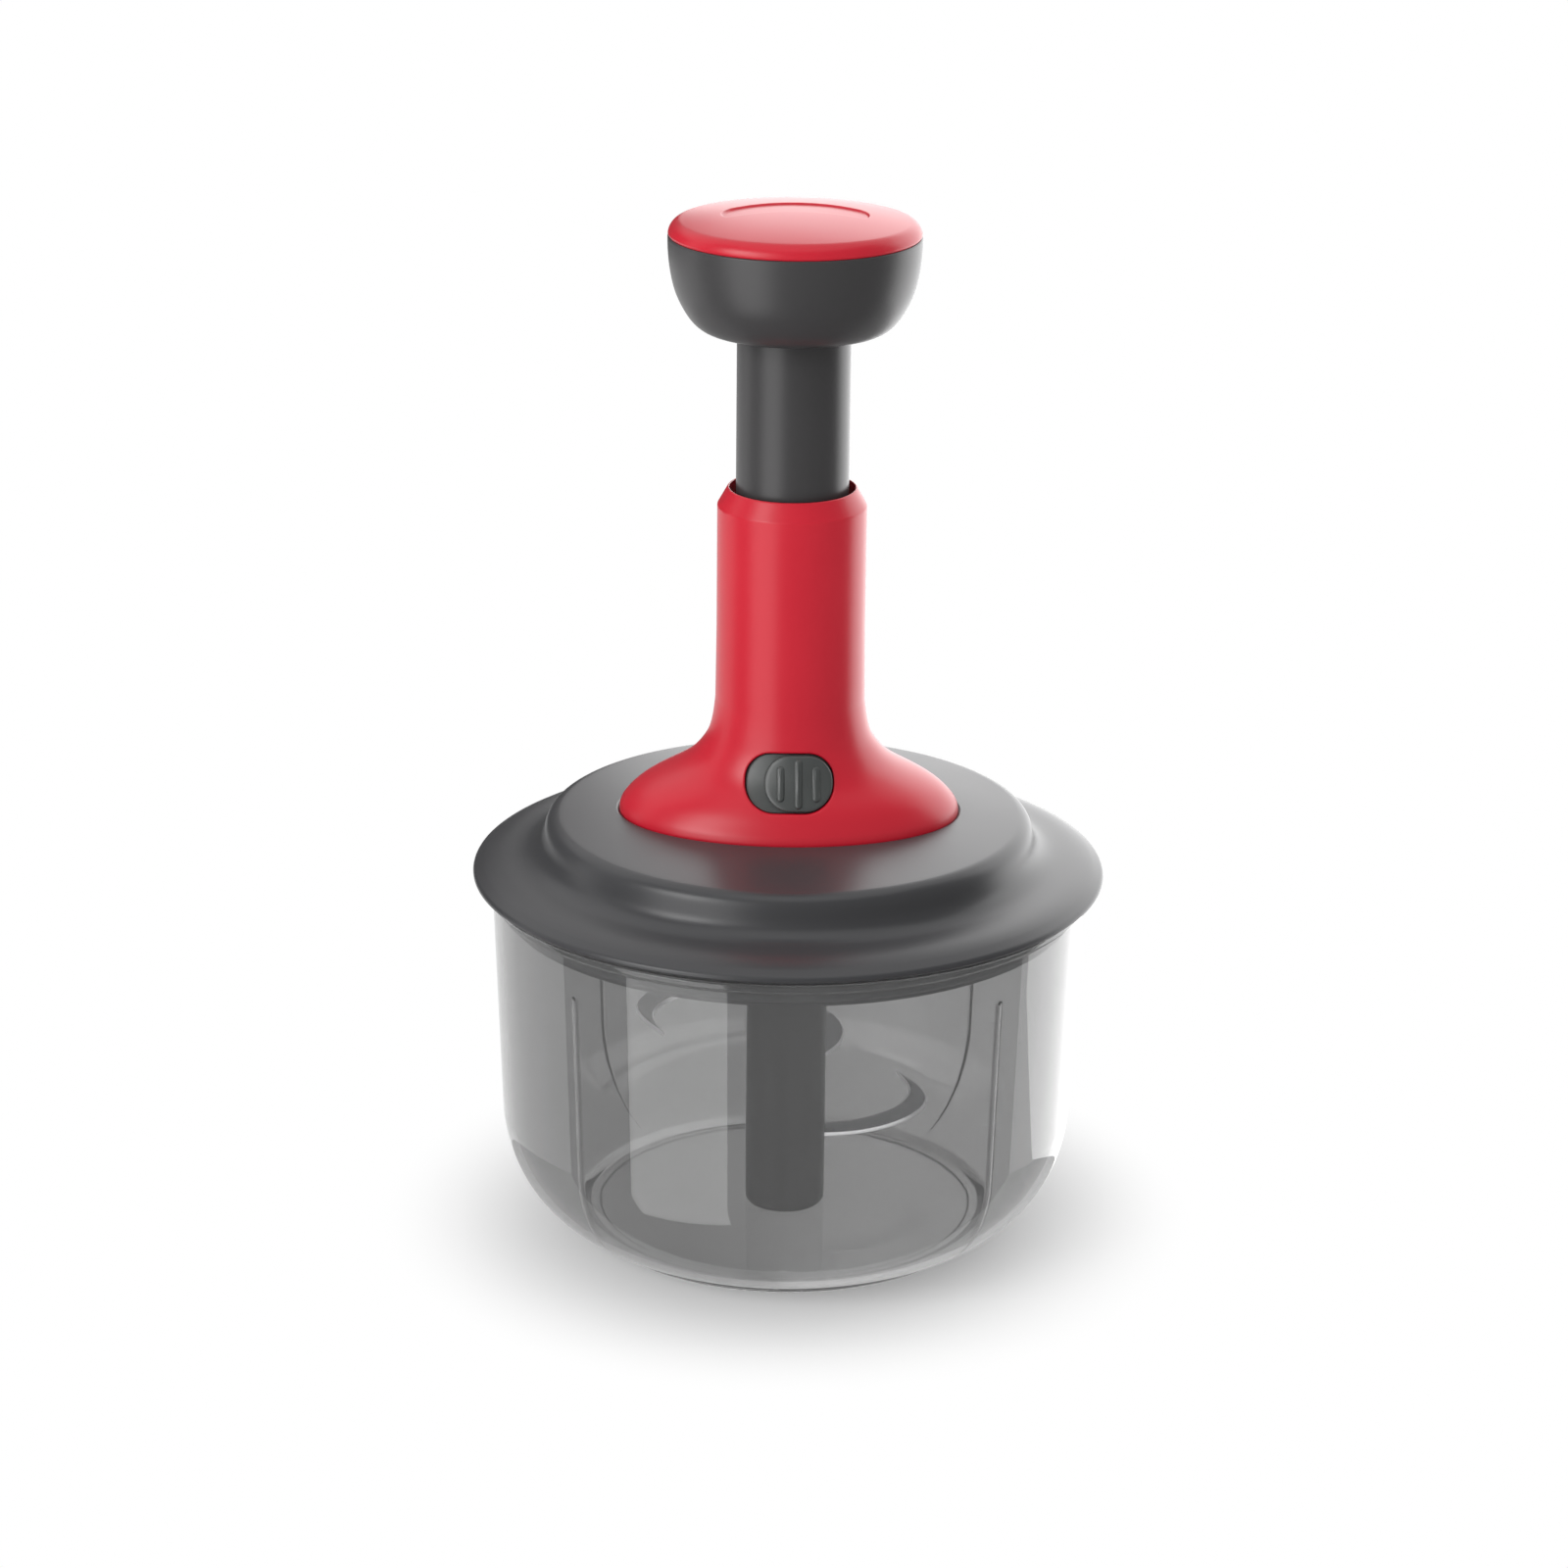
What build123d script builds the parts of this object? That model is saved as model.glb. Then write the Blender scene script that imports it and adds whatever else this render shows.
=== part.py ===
from build123d import *
import os

# Hand-press food chopper: clear bowl, lidded drive tower, sliding press knob and a blade post.
# Millimetres. +Z is up, the origin is the middle of the foot ring on the table, and -Y is the front.

# ---------------------------------------------------------------- driving dimensions
FIT = 0.08                 # radial running clearance of a shaft in its bush
CLEAR = 0.3                # gap between pieces that move past each other

# bowl
FOOT_R_OUT = 48.3
FOOT_R_IN = 45.6
FLOOR_UNDER = 0.8          # the bowl's underside stands this far off the table
FLOOR_TOP = 2.6
CORNER_R = 26.0            # bottom corner, an ellipse: its reach inwards
CORNER_H = 30.0            # and its height
CORNER_CENTRE_R = 42.6
WALL = 2.0
BOWL_R_TOP = 70.5          # outside radius just under the rim bead
BEAD_R = 72.0
BEAD_Z = 84.9              # underside of the rim's bead
BEAD_EDGE = 0.6
BOWL_TOP = 87.0
BOSS_R = 5.6
BOSS_TOP = 7.4
RIB_COUNT = 4
RIB_START = 45             # degrees from +X to the first rib
RIB_WIDTH = 2.2
RIB_DEPTH = 2.4
RIB_TOP = 72.0
RIB_LEAD_IN = 3.0

# pivot pin and blade post
PIN_R = 2.5
PIN_SEAT = 1.8
PIN_TOP = 24.0
HUB_R = 9.6
HUB_BOTTOM = 3.0
HUB_EDGE = 1.2
HUB_SHOULDER = 66.0
NECK_R = 7.2
NECK_BOTTOM = 73.0
NECK_TOP = 87.0
NECK_EDGE = 0.8
HUB_BUSH_R = 4.2
HUB_BUSH_BOTTOM = 8.2
HUB_BUSH_TOP = 22.4
BOSS_ROOM_R = 6.4
SOCKET_FLATS = 8.6
SOCKET_BOTTOM = 72.5
BLADE_THICK = 1.2
BLADE_ROOT = (5.2, 0.4)    # front corner of the tang, inside the post
BLADE_BACK_Y = 7.2         # the tang's back edge
BLADES = {"lower_blade": (19.0, 0), "middle_blade": (36.0, 45), "upper_blade": (61.6, 180)}
BEVEL_WIDTH = 2.4
BEVEL_DEPTH = 0.9

# lid
RIM_R = 75.0
RIM_EDGE_Z = 89.4          # widest level of the rim's rolled lip
RIM_UNDER = 88.7
LID_CROWN = 105.2
PLATEAU_R = 54.4
PLATEAU_EDGE_Z = 102.8
LID_UNDER = 101.0
PLUG_R = 66.6
PLUG_WALL = 2.2
PLUG_BOTTOM = 80.2
RIM_SEAT = BOWL_TOP + CLEAR
SEAL_R = 67.9
SEAL_BOTTOM = 81.5
SEAL_TOP = 85.5
SEAL_GROOVE = 0.8
PLATE_BOTTOM = 80.4
PLATE_THICK = 1.8
PLATE_HOLE_R = 8.0
PLATE_COLLAR = 2.4         # height of the collar round the plate's hole
LID_BOSS_R = 11.0
LID_BOSS_BOTTOM = 91.3
SCREW_BOSS_R = 3.6
PLATE_SCREW_R = 38.0       # the screws stand on this radius
PLATE_SCREW_ANGLES = (90, 210, 330)
PLATE_SCREW_TOP = 92.0
SCREW_R = 1.5
SCREW_HOLE_R = 1.6
SCREW_HEAD_R = 2.8
SCREW_HEAD = 1.5

# handle tower
SEAT_Z = 103.4             # the tower's foot stands on this flat in the lid
FOOT_X = 40.2              # half width of the oval foot
FOOT_Y = 28.2
TOWER_WALL = 1.8
TOWER_DROP = 1.4           # the hollow's form is the outside one, lowered and shrunk
FLARE_TOP = 132.0
FLARE_TOP_R = 17.6
BORE_R = 15.3
COLLAR_R = 17.4
COLLAR_EDGE = 178.7
COLLAR_TOP = 182.9
MOUTH_R = 14.6
BUSH_BOTTOM = 149.5
BUSH_TOP = 178.5
BUSH_LEAD = 0.6
SEAT_GAP = 0.25
SEAT_BEVEL = 2.0
FOOT_SCREWS = ((28, 7.5), (28, -7.5), (-28, 7.5), (-28, -7.5))
FOOT_SCREW_TOP = 109.4
FOOT_BOSS_R = 3.2
FOOT_BOSS_TOP = 112.0

# plunger
TRAVEL = 36.0
SLEEVE_R = 13.1
SLEEVE_BORE_R = 11.3
SLEEVE_BOTTOM = 146.5
SLEEVE_TOP = 234.0
FLANGE_R = 15.0
FLANGE_TOP = 149.0
SLEEVE_ROOF = 231.0
SHELF_R = 9.4              # ledge over the clutch ring
SHELF_TOP = 170.4
KNOB_SCREW_R = 1.9
KNOB_SCREW_BOTTOM = 222.0
PILLAR_R = 4.2
PILLAR_BOTTOM = 216.0
LUG_REACH = 15.9
LUG_GROOVE_REACH = 16.2
LUG_WIDTH = 4.0
KEY_WIDTH = 3.0
KEY_REACH = 12.2
KNOB_R = 29.0
KNOB_BOTTOM = 219.9
KNOB_TOP = 241.6
KNOB_WALL_R = 26.5
KNOB_SOCKET_R = 15.6
KNOB_WEB_TOP = 236.4
CAP_TOP = 247.6
CAP_ROLL_R = 26.3
CAP_ROLL_Z = 245.1
CAP_WALL = 2.2
CAP_SPIGOT_R = 26.4
CAP_SPIGOT_BOTTOM = 238.4
RECESS_DEPTH = 0.45

# drive
ROD_LEAD = 24.0            # one turn of twist in this height, left-handed
ROD_WIDTH = 8.4
ROD_THICK = 3.4
ROD_BOTTOM = 107.2
ROD_TOP = 170.0
JOURNAL_R = 5.0
COLLAR_FLANGE_R = 7.6
BEARING_R = 7.5
BEARING_FLANGE_R = 8.5
BEARING_FLANGE = 1.2
WASHER_THICK = 0.6
CLIP_GROOVE_R = 4.4
CLIP_R = 6.8
CLIP_Z = (90.0, 90.8)
STUB_R = 2.4
STUB_BOTTOM = 77.0
COUPLER_BOTTOM = 74.0
COUPLER_SHOULDER = 87.4
COUPLER_TOP = 89.4
COUPLER_FLANGE_R = 6.2
COUPLER_FLATS = 8.0
COUPLER_SCREW_R = 1.25
COUPLER_SCREW_HEAD_R = 2.3
COUPLER_SCREW_Z = (74.2, 75.6, 83.0)
NUT_BOTTOM = 159.2
NUT_TOP = 164.2
TOOTH_HEIGHT = 1.2
TOOTH_WIDTH = 2.4
TOOTH_COUNT = 8
TOOTH_R = (6.5, 10.0)      # the teeth reach from one radius to the other
CLUTCH_TOP = 168.4
CLUTCH_BORE_R = 6.2
RETAINER_BORE_R = 8.3
RETAINER_THICK = 1.0
SPRING_R = 9.6
SPRING_TURNS = 7
WIRE_R = 0.7

# lock
LOCK_TRAVEL = 4.2
LOCK_CENTRE = (0, -20.6, 117.0)
LOCK_LEAN = 16.0           # degrees that the slider's face leans back
WINDOW_W = 20.6
WINDOW_H = 13.8
WINDOW_CORNER = 6.0
PLATE_DEPTH = 1.2          # lock plate's face, level in from the tower's surface
LOCK_PLATE_THICK = 0.9
LOCK_LEDGE = 1.8
FRAME_MARGIN = 2.0
THUMB_W = 15.9
THUMB_H = 13.1
THUMB_RISE = 0.25
GRIP_RIBS = ((-4.15, 8.2), (0, 11.4), (4.15, 8.2))
GRIP_RIB_W = 1.8
GRIP_RIB_RISE = 0.7
STUB_Z = (115.2, 118.8)
STUB_W = 3.0
STUB_TIP_Y = -11.6
STUB_ROOT = 0.5            # the tongue ends this far inside the tower's surface, in the thumb piece
CATCH_Y = (-16.5, -15.4)
CATCH_Z = (113.6, 119.2)
CATCH_W = 7.6
WALL_REACH = (-26.0, -13.0)    # y range that clears the front wall
PRISM_IN = 6.0             # cuts through the front wall start this deep and end this far out
PRISM_OUT = 5.0


# ---------------------------------------------------------------- helpers
def outline_face(*items):
    """Closed face: points are joined by straight lines and curves are taken as they stand."""
    edges = []
    start = pen = None
    for item in items:
        is_point = isinstance(item, tuple)
        first = Vector(item) if is_point else item @ 0
        if pen is not None and (first - pen).length > 1e-6:
            edges.append(Line(pen, first))
        if not is_point:
            edges.append(item)
        if start is None:
            start = first
        pen = first if is_point else item @ 1
    if (start - pen).length > 1e-6:
        edges.append(Line(pen, start))
    return make_face(edges)


def turned(*items):
    """Solid of revolution about Z from an outline of (radius, height) points and curves."""
    return revolve(Plane.XZ * outline_face(*items), axis=Axis.Z)


def ring(r_in, r_out, z_low, z_high):
    """Plain ring or disc about Z."""
    body = Pos(0, 0, z_low) * extrude(Circle(r_out), z_high - z_low)
    if r_in > 0:
        body -= Pos(0, 0, z_low) * extrude(Circle(r_in), z_high - z_low)
    return body


def rod_at(x, y, radius, z_low, z_high):
    """Upright round bar at x, y."""
    return Pos(x, y, z_low) * extrude(Circle(radius), z_high - z_low)


def block(x, y, z):
    """Box from three (low, high) pairs."""
    size = [high - low for low, high in (x, y, z)]
    centre = [(high + low) / 2 for low, high in (x, y, z)]
    return Pos(*centre) * Box(*size)


def twisted_bar(width, thick, z_low, z_high):
    """Flat bar twisted left-handed about Z, in phase with every other one made here."""
    turn = -360.0 / ROD_LEAD
    section = Rot(0, 0, turn * (z_low - ROD_BOTTOM)) * Rectangle(width, thick)
    section = Pos(0, 0, z_low) * section
    angle = turn * (z_high - z_low)
    return Part() + Solid.extrude_linear_with_rotation(
        section.face(), (0, 0, z_low), (0, 0, z_high - z_low), angle
    )


def hexagon(flats, z_low, z_high):
    """Hexagonal bar about Z, given across its flats."""
    section = RegularPolygon(flats / 2, 6, major_radius=False)
    return Pos(0, 0, z_low) * extrude(section, z_high - z_low)


def wall_radius(z, inset=0.0):
    """Bowl's outside radius on its straight taper, less an inset."""
    foot = CORNER_CENTRE_R + CORNER_R
    low = FLOOR_UNDER + CORNER_H
    return foot + (BOWL_R_TOP - foot) * (z - low) / (BEAD_Z - low) - inset


# ---------------------------------------------------------------- bowl
def bowl_corner(inset):
    """Quarter ellipse of the bottom corner, from the floor up to the wall."""
    centre = (CORNER_CENTRE_R, FLOOR_UNDER + CORNER_H)
    return EllipticalCenterArc(centre, CORNER_R - inset, CORNER_H - inset, 270, arc_size=90)


def make_bowl():
    corner_top = FLOOR_UNDER + CORNER_H
    inside_top = wall_radius(BOWL_TOP, WALL)
    form = turned(
        (0, FLOOR_UNDER), bowl_corner(0), (wall_radius(BEAD_Z), BEAD_Z),
        (BEAD_R - BEAD_EDGE, BEAD_Z), (BEAD_R, BEAD_Z + BEAD_EDGE), (BEAD_R, BOWL_TOP - BEAD_EDGE),
        (BEAD_R - BEAD_EDGE, BOWL_TOP), (0, BOWL_TOP),
    )
    hollow = turned(
        (0, FLOOR_TOP), bowl_corner(FLOOR_TOP - FLOOR_UNDER),
        (inside_top, BOWL_TOP), (inside_top, BOWL_TOP + 1), (0, BOWL_TOP + 1),
    )
    foot = ring(FOOT_R_IN, FOOT_R_OUT, 0, PIN_SEAT)
    boss = ring(PIN_R, BOSS_R, PIN_SEAT, BOSS_TOP)
    pin_hole = ring(0, PIN_R, PIN_SEAT, BOSS_TOP)

    rib_foot = wall_radius(corner_top, WALL + RIB_DEPTH)
    rib_band = turned(
        bowl_corner(WALL / 2), (wall_radius(RIB_TOP, WALL / 2), RIB_TOP),
        (wall_radius(RIB_TOP, WALL), RIB_TOP),
        (wall_radius(RIB_TOP, WALL + RIB_DEPTH), RIB_TOP - RIB_LEAD_IN), (rib_foot, corner_top),
        (rib_foot - 2.6, corner_top - 12), (rib_foot - 9, FLOOR_TOP + 5.5), (CORNER_CENTRE_R, FLOOR_TOP),
    )
    rib_slice = block((CORNER_R, BEAD_R), (-RIB_WIDTH / 2, RIB_WIDTH / 2), (0, BOWL_TOP))
    rib = rib_band & (Rot(0, 0, RIB_START) * rib_slice)
    body = form - hollow + foot + boss - pin_hole
    for index in range(RIB_COUNT):
        body += Rot(0, 0, index * 360 / RIB_COUNT) * rib
    return body


def make_pivot_pin():
    tip = 0.8
    return turned(
        (0, PIN_SEAT), (PIN_R, PIN_SEAT), (PIN_R, PIN_TOP - tip), (PIN_R - tip, PIN_TOP), (0, PIN_TOP),
    )


# ---------------------------------------------------------------- blade post
def make_blade(z, angle):
    """Sickle of sheet steel with one convex ground edge and a tang inside the post."""
    tip = (28.3, 39.0)
    cutting_edge = Spline((9.0, BLADE_ROOT[1]), (16.5, 1.4), (23.7, 4.4), (31.0, 11.0), (35.3, 22.0), tip)
    back = Spline(tip, (31.0, 26.5), (25.6, 14.9), (19.0, 9.9), (13.6, 7.8), (8.2, BLADE_BACK_Y))
    plan = outline_face(BLADE_ROOT, cutting_edge, back, (BLADE_ROOT[0] - 2.2, BLADE_BACK_Y))
    blade = extrude(plan, BLADE_THICK)
    key_hole = Pos(BLADE_ROOT[0] + 1.7, BLADE_BACK_Y / 2, 0) * extrude(Circle(1.0), BLADE_THICK)
    blade = blade - key_hole - make_bevel(cutting_edge)
    return Rot(0, 0, angle) * Pos(0, 0, z - BLADE_THICK / 2) * blade


def make_bevel(cutting_edge):
    """Wedge that the grinding takes off along the convex edge."""
    across = Plane(origin=cutting_edge @ 0, x_dir=(0, 1, 0), z_dir=(1, 0, 0))
    over = 1.0
    wedge = Polyline((-over, BLADE_THICK - BEVEL_DEPTH), (0, BLADE_THICK - BEVEL_DEPTH),
                     (BEVEL_WIDTH, BLADE_THICK), (BEVEL_WIDTH, BLADE_THICK + over),
                     (-over, BLADE_THICK + over), close=True)
    return sweep(across * make_face(wedge), path=cutting_edge)


def make_blade_hub(blades):
    foot_edge = RadiusArc((HUB_R - HUB_EDGE, HUB_BOTTOM), (HUB_R, HUB_BOTTOM + HUB_EDGE), -HUB_EDGE)
    half_way = ((HUB_R + NECK_R) / 2, (HUB_SHOULDER + NECK_BOTTOM) / 2)
    shoulder = Spline((HUB_R, HUB_SHOULDER), half_way, (NECK_R, NECK_BOTTOM), tangents=((0, 1), (0, 1)))
    form = turned(
        (0, HUB_BOTTOM), foot_edge, shoulder,
        (NECK_R, NECK_TOP - NECK_EDGE), (NECK_R - NECK_EDGE, NECK_TOP), (0, NECK_TOP),
    )
    boss_room = ring(0, BOSS_ROOM_R, HUB_BOTTOM - 1, HUB_BUSH_BOTTOM)
    bush_seat = ring(0, HUB_BUSH_R, HUB_BUSH_BOTTOM, HUB_BUSH_TOP)
    pin_room = ring(0, PIN_R + FIT, HUB_BUSH_TOP, PIN_TOP + CLEAR)
    socket = hexagon(SOCKET_FLATS, SOCKET_BOTTOM, NECK_TOP)
    hub = form - boss_room - bush_seat - pin_room - socket
    for blade in blades:
        hub -= blade
    return hub


def make_hub_bush():
    return ring(PIN_R + FIT, HUB_BUSH_R, HUB_BUSH_BOTTOM, HUB_BUSH_TOP)


# ---------------------------------------------------------------- lid
def foot_oval(grow, z_low, z_high):
    """Upright oval block on the tower's foot outline, grown by a margin."""
    return Pos(0, 0, z_low) * extrude(Ellipse(FOOT_X + grow, FOOT_Y + grow), z_high - z_low)


def make_lid_cover():
    crown = ThreePointArc((0, LID_CROWN), (PLATEAU_R / 2, LID_CROWN - 0.6), (PLATEAU_R, PLATEAU_EDGE_Z))
    step = Spline(
        (PLATEAU_R, PLATEAU_EDGE_Z), (56.7, 101.8), (57.9, 99.6), (58.6, 96.9), (60.3, 94.6), (63.6, 93.2),
        tangents=((1, -0.09), (1, -0.2)),
    )
    skirt = Spline((63.6, 93.2), (69.2, 92.3), (73.9, 90.6), tangents=((1, -0.2), (1, -0.6)))
    lip = ThreePointArc((73.9, 90.6), (RIM_R - 0.3, 90.1), (RIM_R, RIM_EDGE_Z))
    outside = turned(
        (0, LID_UNDER), crown, step, skirt, lip, (RIM_R, RIM_UNDER + 0.3), (RIM_R - 0.4, RIM_UNDER),
        (BEAD_R + 0.6, RIM_UNDER - 0.3), (BEAD_R - 0.6, RIM_SEAT), (0, RIM_SEAT),
    )
    inside = turned(
        (0, RIM_SEAT - 1), (PLUG_R - PLUG_WALL, RIM_SEAT - 1),
        Spline((PLUG_R - PLUG_WALL, 89.2), (60.2, 91.2), (57.0, 94.6), (55.9, 98.2), (52.6, LID_UNDER),
               tangents=((-0.3, 1), (-1, 0.1))),
        (0, LID_UNDER),
    )
    groove_r = PLUG_R - SEAL_GROOVE
    plug = turned(
        (PLUG_R - PLUG_WALL, RIM_SEAT), (PLUG_R, RIM_SEAT), (PLUG_R, SEAL_TOP), (groove_r, SEAL_TOP),
        (groove_r, SEAL_BOTTOM), (PLUG_R, SEAL_BOTTOM), (PLUG_R, PLUG_BOTTOM + 0.4),
        (PLUG_R - 0.4, PLUG_BOTTOM), (PLUG_R - PLUG_WALL, PLUG_BOTTOM),
    )
    body = outside - inside + plug + ring(0, LID_BOSS_R, LID_BOSS_BOTTOM, LID_UNDER + 1)
    plate_top = PLATE_BOTTOM + PLATE_THICK
    for angle in PLATE_SCREW_ANGLES:
        body += Rot(0, 0, angle) * rod_at(PLATE_SCREW_R, 0, SCREW_BOSS_R, plate_top, LID_UNDER + 1)
    seat = foot_oval(SEAT_GAP, SEAT_Z, LID_CROWN + 1)
    bevel = loft([
        Pos(0, 0, SEAT_Z + 0.3 + rise) * Ellipse(FOOT_X + SEAT_GAP + rise, FOOT_Y + SEAT_GAP + rise)
        for rise in (0, SEAT_BEVEL)
    ])
    body = body - seat - bevel - ring(0, BEARING_R, LID_BOSS_BOTTOM - 1, LID_CROWN)
    for angle in PLATE_SCREW_ANGLES:
        body -= Rot(0, 0, angle) * rod_at(PLATE_SCREW_R, 0, SCREW_R, plate_top - 1, PLATE_SCREW_TOP)
    for x, y in FOOT_SCREWS:
        body -= rod_at(x, y, SCREW_HOLE_R, LID_UNDER - 1, LID_CROWN)
    return body


def make_lid_inner_plate():
    top = PLATE_BOTTOM + PLATE_THICK
    plate = ring(PLATE_HOLE_R, PLUG_R - PLUG_WALL - 0.1, PLATE_BOTTOM, top)
    plate += ring(PLATE_HOLE_R, PLATE_HOLE_R + WALL, top, top + PLATE_COLLAR)
    for angle in PLATE_SCREW_ANGLES:
        plate -= Rot(0, 0, angle) * rod_at(PLATE_SCREW_R, 0, SCREW_HOLE_R, PLATE_BOTTOM - 1, top + 1)
    return plate


def make_lid_seal():
    """Silicone ring with two lips that wipe the bowl's wall."""
    groove_r = PLUG_R - SEAL_GROOVE
    waist_r = PLUG_R + 0.5
    lip = 0.9
    return turned(
        (groove_r, SEAL_BOTTOM), (waist_r, SEAL_BOTTOM), (SEAL_R, SEAL_BOTTOM + lip / 2),
        (SEAL_R, SEAL_BOTTOM + lip), (waist_r, SEAL_BOTTOM + 2 * lip), (waist_r, SEAL_TOP - 2 * lip),
        (SEAL_R, SEAL_TOP - lip), (SEAL_R, SEAL_TOP - lip / 2), (waist_r, SEAL_TOP), (groove_r, SEAL_TOP),
    )


def make_lid_screws():
    """Three pan-head screws up through the inner plate."""
    head = rod_at(PLATE_SCREW_R, 0, SCREW_HEAD_R, PLATE_BOTTOM - SCREW_HEAD, PLATE_BOTTOM)
    head = chamfer(head.edges().group_by(Axis.Z)[0], SCREW_HEAD / 3)
    screw = head + rod_at(PLATE_SCREW_R, 0, SCREW_R, PLATE_BOTTOM, PLATE_SCREW_TOP)
    screws = Part()
    for angle in PLATE_SCREW_ANGLES:
        screws += Rot(0, 0, angle) * screw
    return screws


# ---------------------------------------------------------------- handle tower
def flare(shrink, drop, z_end):
    """Tower's foot: a round tube that flares into an oval, as a loft through ovals."""
    levels = (
        (FLARE_TOP, FLARE_TOP_R, FLARE_TOP_R), (129.0, 17.9, 17.75), (126.0, 18.4, 18.1),
        (123.0, 19.3, 18.7), (120.5, 20.8, 19.5), (118.0, 22.9, 20.5), (116.0, 25.4, 21.5),
        (114.2, 28.6, 22.6), (112.6, 31.8, 23.7), (111.0, 34.6, 24.8), (109.2, 37.0, 25.9),
        (107.2, 38.9, 27.0), (SEAT_Z + 1.6, FOOT_X - 0.1, FOOT_Y - 0.15), (z_end, FOOT_X, FOOT_Y),
    )
    return loft([Pos(0, 0, z - drop) * Ellipse(x - shrink, y - shrink) for z, x, y in levels])


def flare_inset(inset):
    """Form of the tower's foot with every level oval smaller by the inset."""
    return flare(inset, 0, SEAT_Z)


def through_front(outline, x=0):
    """Prism square to the slider's face, which leans back, that passes through the tower's front wall."""
    face = Plane(origin=LOCK_CENTRE, x_dir=(1, 0, 0), z_dir=(0, -1, 0)).rotated((-LOCK_LEAN, 0, 0))
    return face.offset(-PRISM_IN) * Pos(x, 0, 0) * extrude(outline, PRISM_IN + PRISM_OUT)


def make_handle_housing():
    tube = turned(
        (0, FLARE_TOP), (FLARE_TOP_R, FLARE_TOP), (COLLAR_R, BUSH_BOTTOM), (COLLAR_R, COLLAR_EDGE - 0.5),
        (COLLAR_R - 0.2, COLLAR_EDGE + 0.2), (15.2, COLLAR_TOP - 0.5), (MOUTH_R, COLLAR_TOP),
        (0, COLLAR_TOP),
    )
    outside = tube + flare(0, 0, SEAT_Z)
    hollow = flare(TOWER_WALL, TOWER_DROP, SEAT_Z + 0.2)
    hollow += foot_oval(-TOWER_WALL, SEAT_Z - 1, SEAT_Z + 0.2)
    hollow += ring(0, BORE_R, FLARE_TOP - 4, COLLAR_EDGE - 0.1)
    hollow += ring(0, MOUTH_R, COLLAR_EDGE - 1, COLLAR_TOP + 1)
    for side in (1, -1):
        hollow += block(
            sorted((side * (BORE_R - 1), side * LUG_GROOVE_REACH)),
            (-LUG_WIDTH / 2 - CLEAR, LUG_WIDTH / 2 + CLEAR),
            (SEAT_Z + 1, BUSH_BOTTOM),
        )
    bosses = Part()
    for x, y in FOOT_SCREWS:
        bosses += rod_at(x, y, FOOT_BOSS_R, SEAT_Z, FOOT_BOSS_TOP)
    margin = FRAME_MARGIN
    pocket_depth = PLATE_DEPTH + LOCK_PLATE_THICK
    window_frame = through_front(
        RectangleRounded(WINDOW_W + 2 * margin, WINDOW_H + 2 * margin, WINDOW_CORNER + margin)
    )
    window_frame -= flare_inset(pocket_depth + LOCK_LEDGE) + ring(0, BORE_R + 0.4, SEAT_Z, FLARE_TOP)
    body = (outside - hollow) + ((bosses + window_frame) & outside)
    window = through_front(RectangleRounded(WINDOW_W, WINDOW_H, WINDOW_CORNER)) - flare_inset(pocket_depth)
    catch_reach = (LOCK_TRAVEL + CATCH_W) / 2 + CLEAR
    catch_z = (CATCH_Z[0] - CLEAR, CATCH_Z[1] + CLEAR)
    catch_room = block((-catch_reach, catch_reach), (CATCH_Y[0] - FIT, WALL_REACH[1]), catch_z)
    body = body - window - lock_slot() - catch_room
    for x, y in FOOT_SCREWS:
        body -= rod_at(x, y, SCREW_R, SEAT_Z - 1, FOOT_SCREW_TOP)
    return body


def lock_slot():
    """Passage for the slider's tongue."""
    reach = (LOCK_TRAVEL + STUB_W) / 2 + CLEAR
    return block((-reach, reach), WALL_REACH, (STUB_Z[0] - CLEAR, STUB_Z[1] + CLEAR))


def make_guide_bush():
    bore = SLEEVE_R + FIT
    return turned(
        (bore + BUSH_LEAD, BUSH_BOTTOM), (BORE_R, BUSH_BOTTOM), (BORE_R, BUSH_TOP),
        (bore + BUSH_LEAD, BUSH_TOP), (bore, BUSH_TOP - BUSH_LEAD), (bore, BUSH_BOTTOM + BUSH_LEAD),
    )


def make_housing_screws():
    """Four pan-head screws up through the lid into the tower's bosses."""
    screws = Part()
    for x, y in FOOT_SCREWS:
        screws += rod_at(x, y, SCREW_HEAD_R, LID_UNDER - SCREW_HEAD, LID_UNDER)
        screws += rod_at(x, y, SCREW_R, LID_UNDER, FOOT_SCREW_TOP)
    return screws


# ---------------------------------------------------------------- drive in the lid
def make_bearing_bush():
    bore = JOURNAL_R + FIT
    flange_top = SEAT_Z + BEARING_FLANGE
    return turned(
        (bore, LID_BOSS_BOTTOM), (BEARING_R, LID_BOSS_BOTTOM), (BEARING_R, SEAT_Z),
        (BEARING_FLANGE_R, SEAT_Z), (BEARING_FLANGE_R, flange_top), (bore, flange_top),
    )


def make_thrust_washer():
    bottom = SEAT_Z + BEARING_FLANGE
    return ring(JOURNAL_R + CLEAR, BEARING_FLANGE_R - CLEAR, bottom, bottom + WASHER_THICK)


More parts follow.
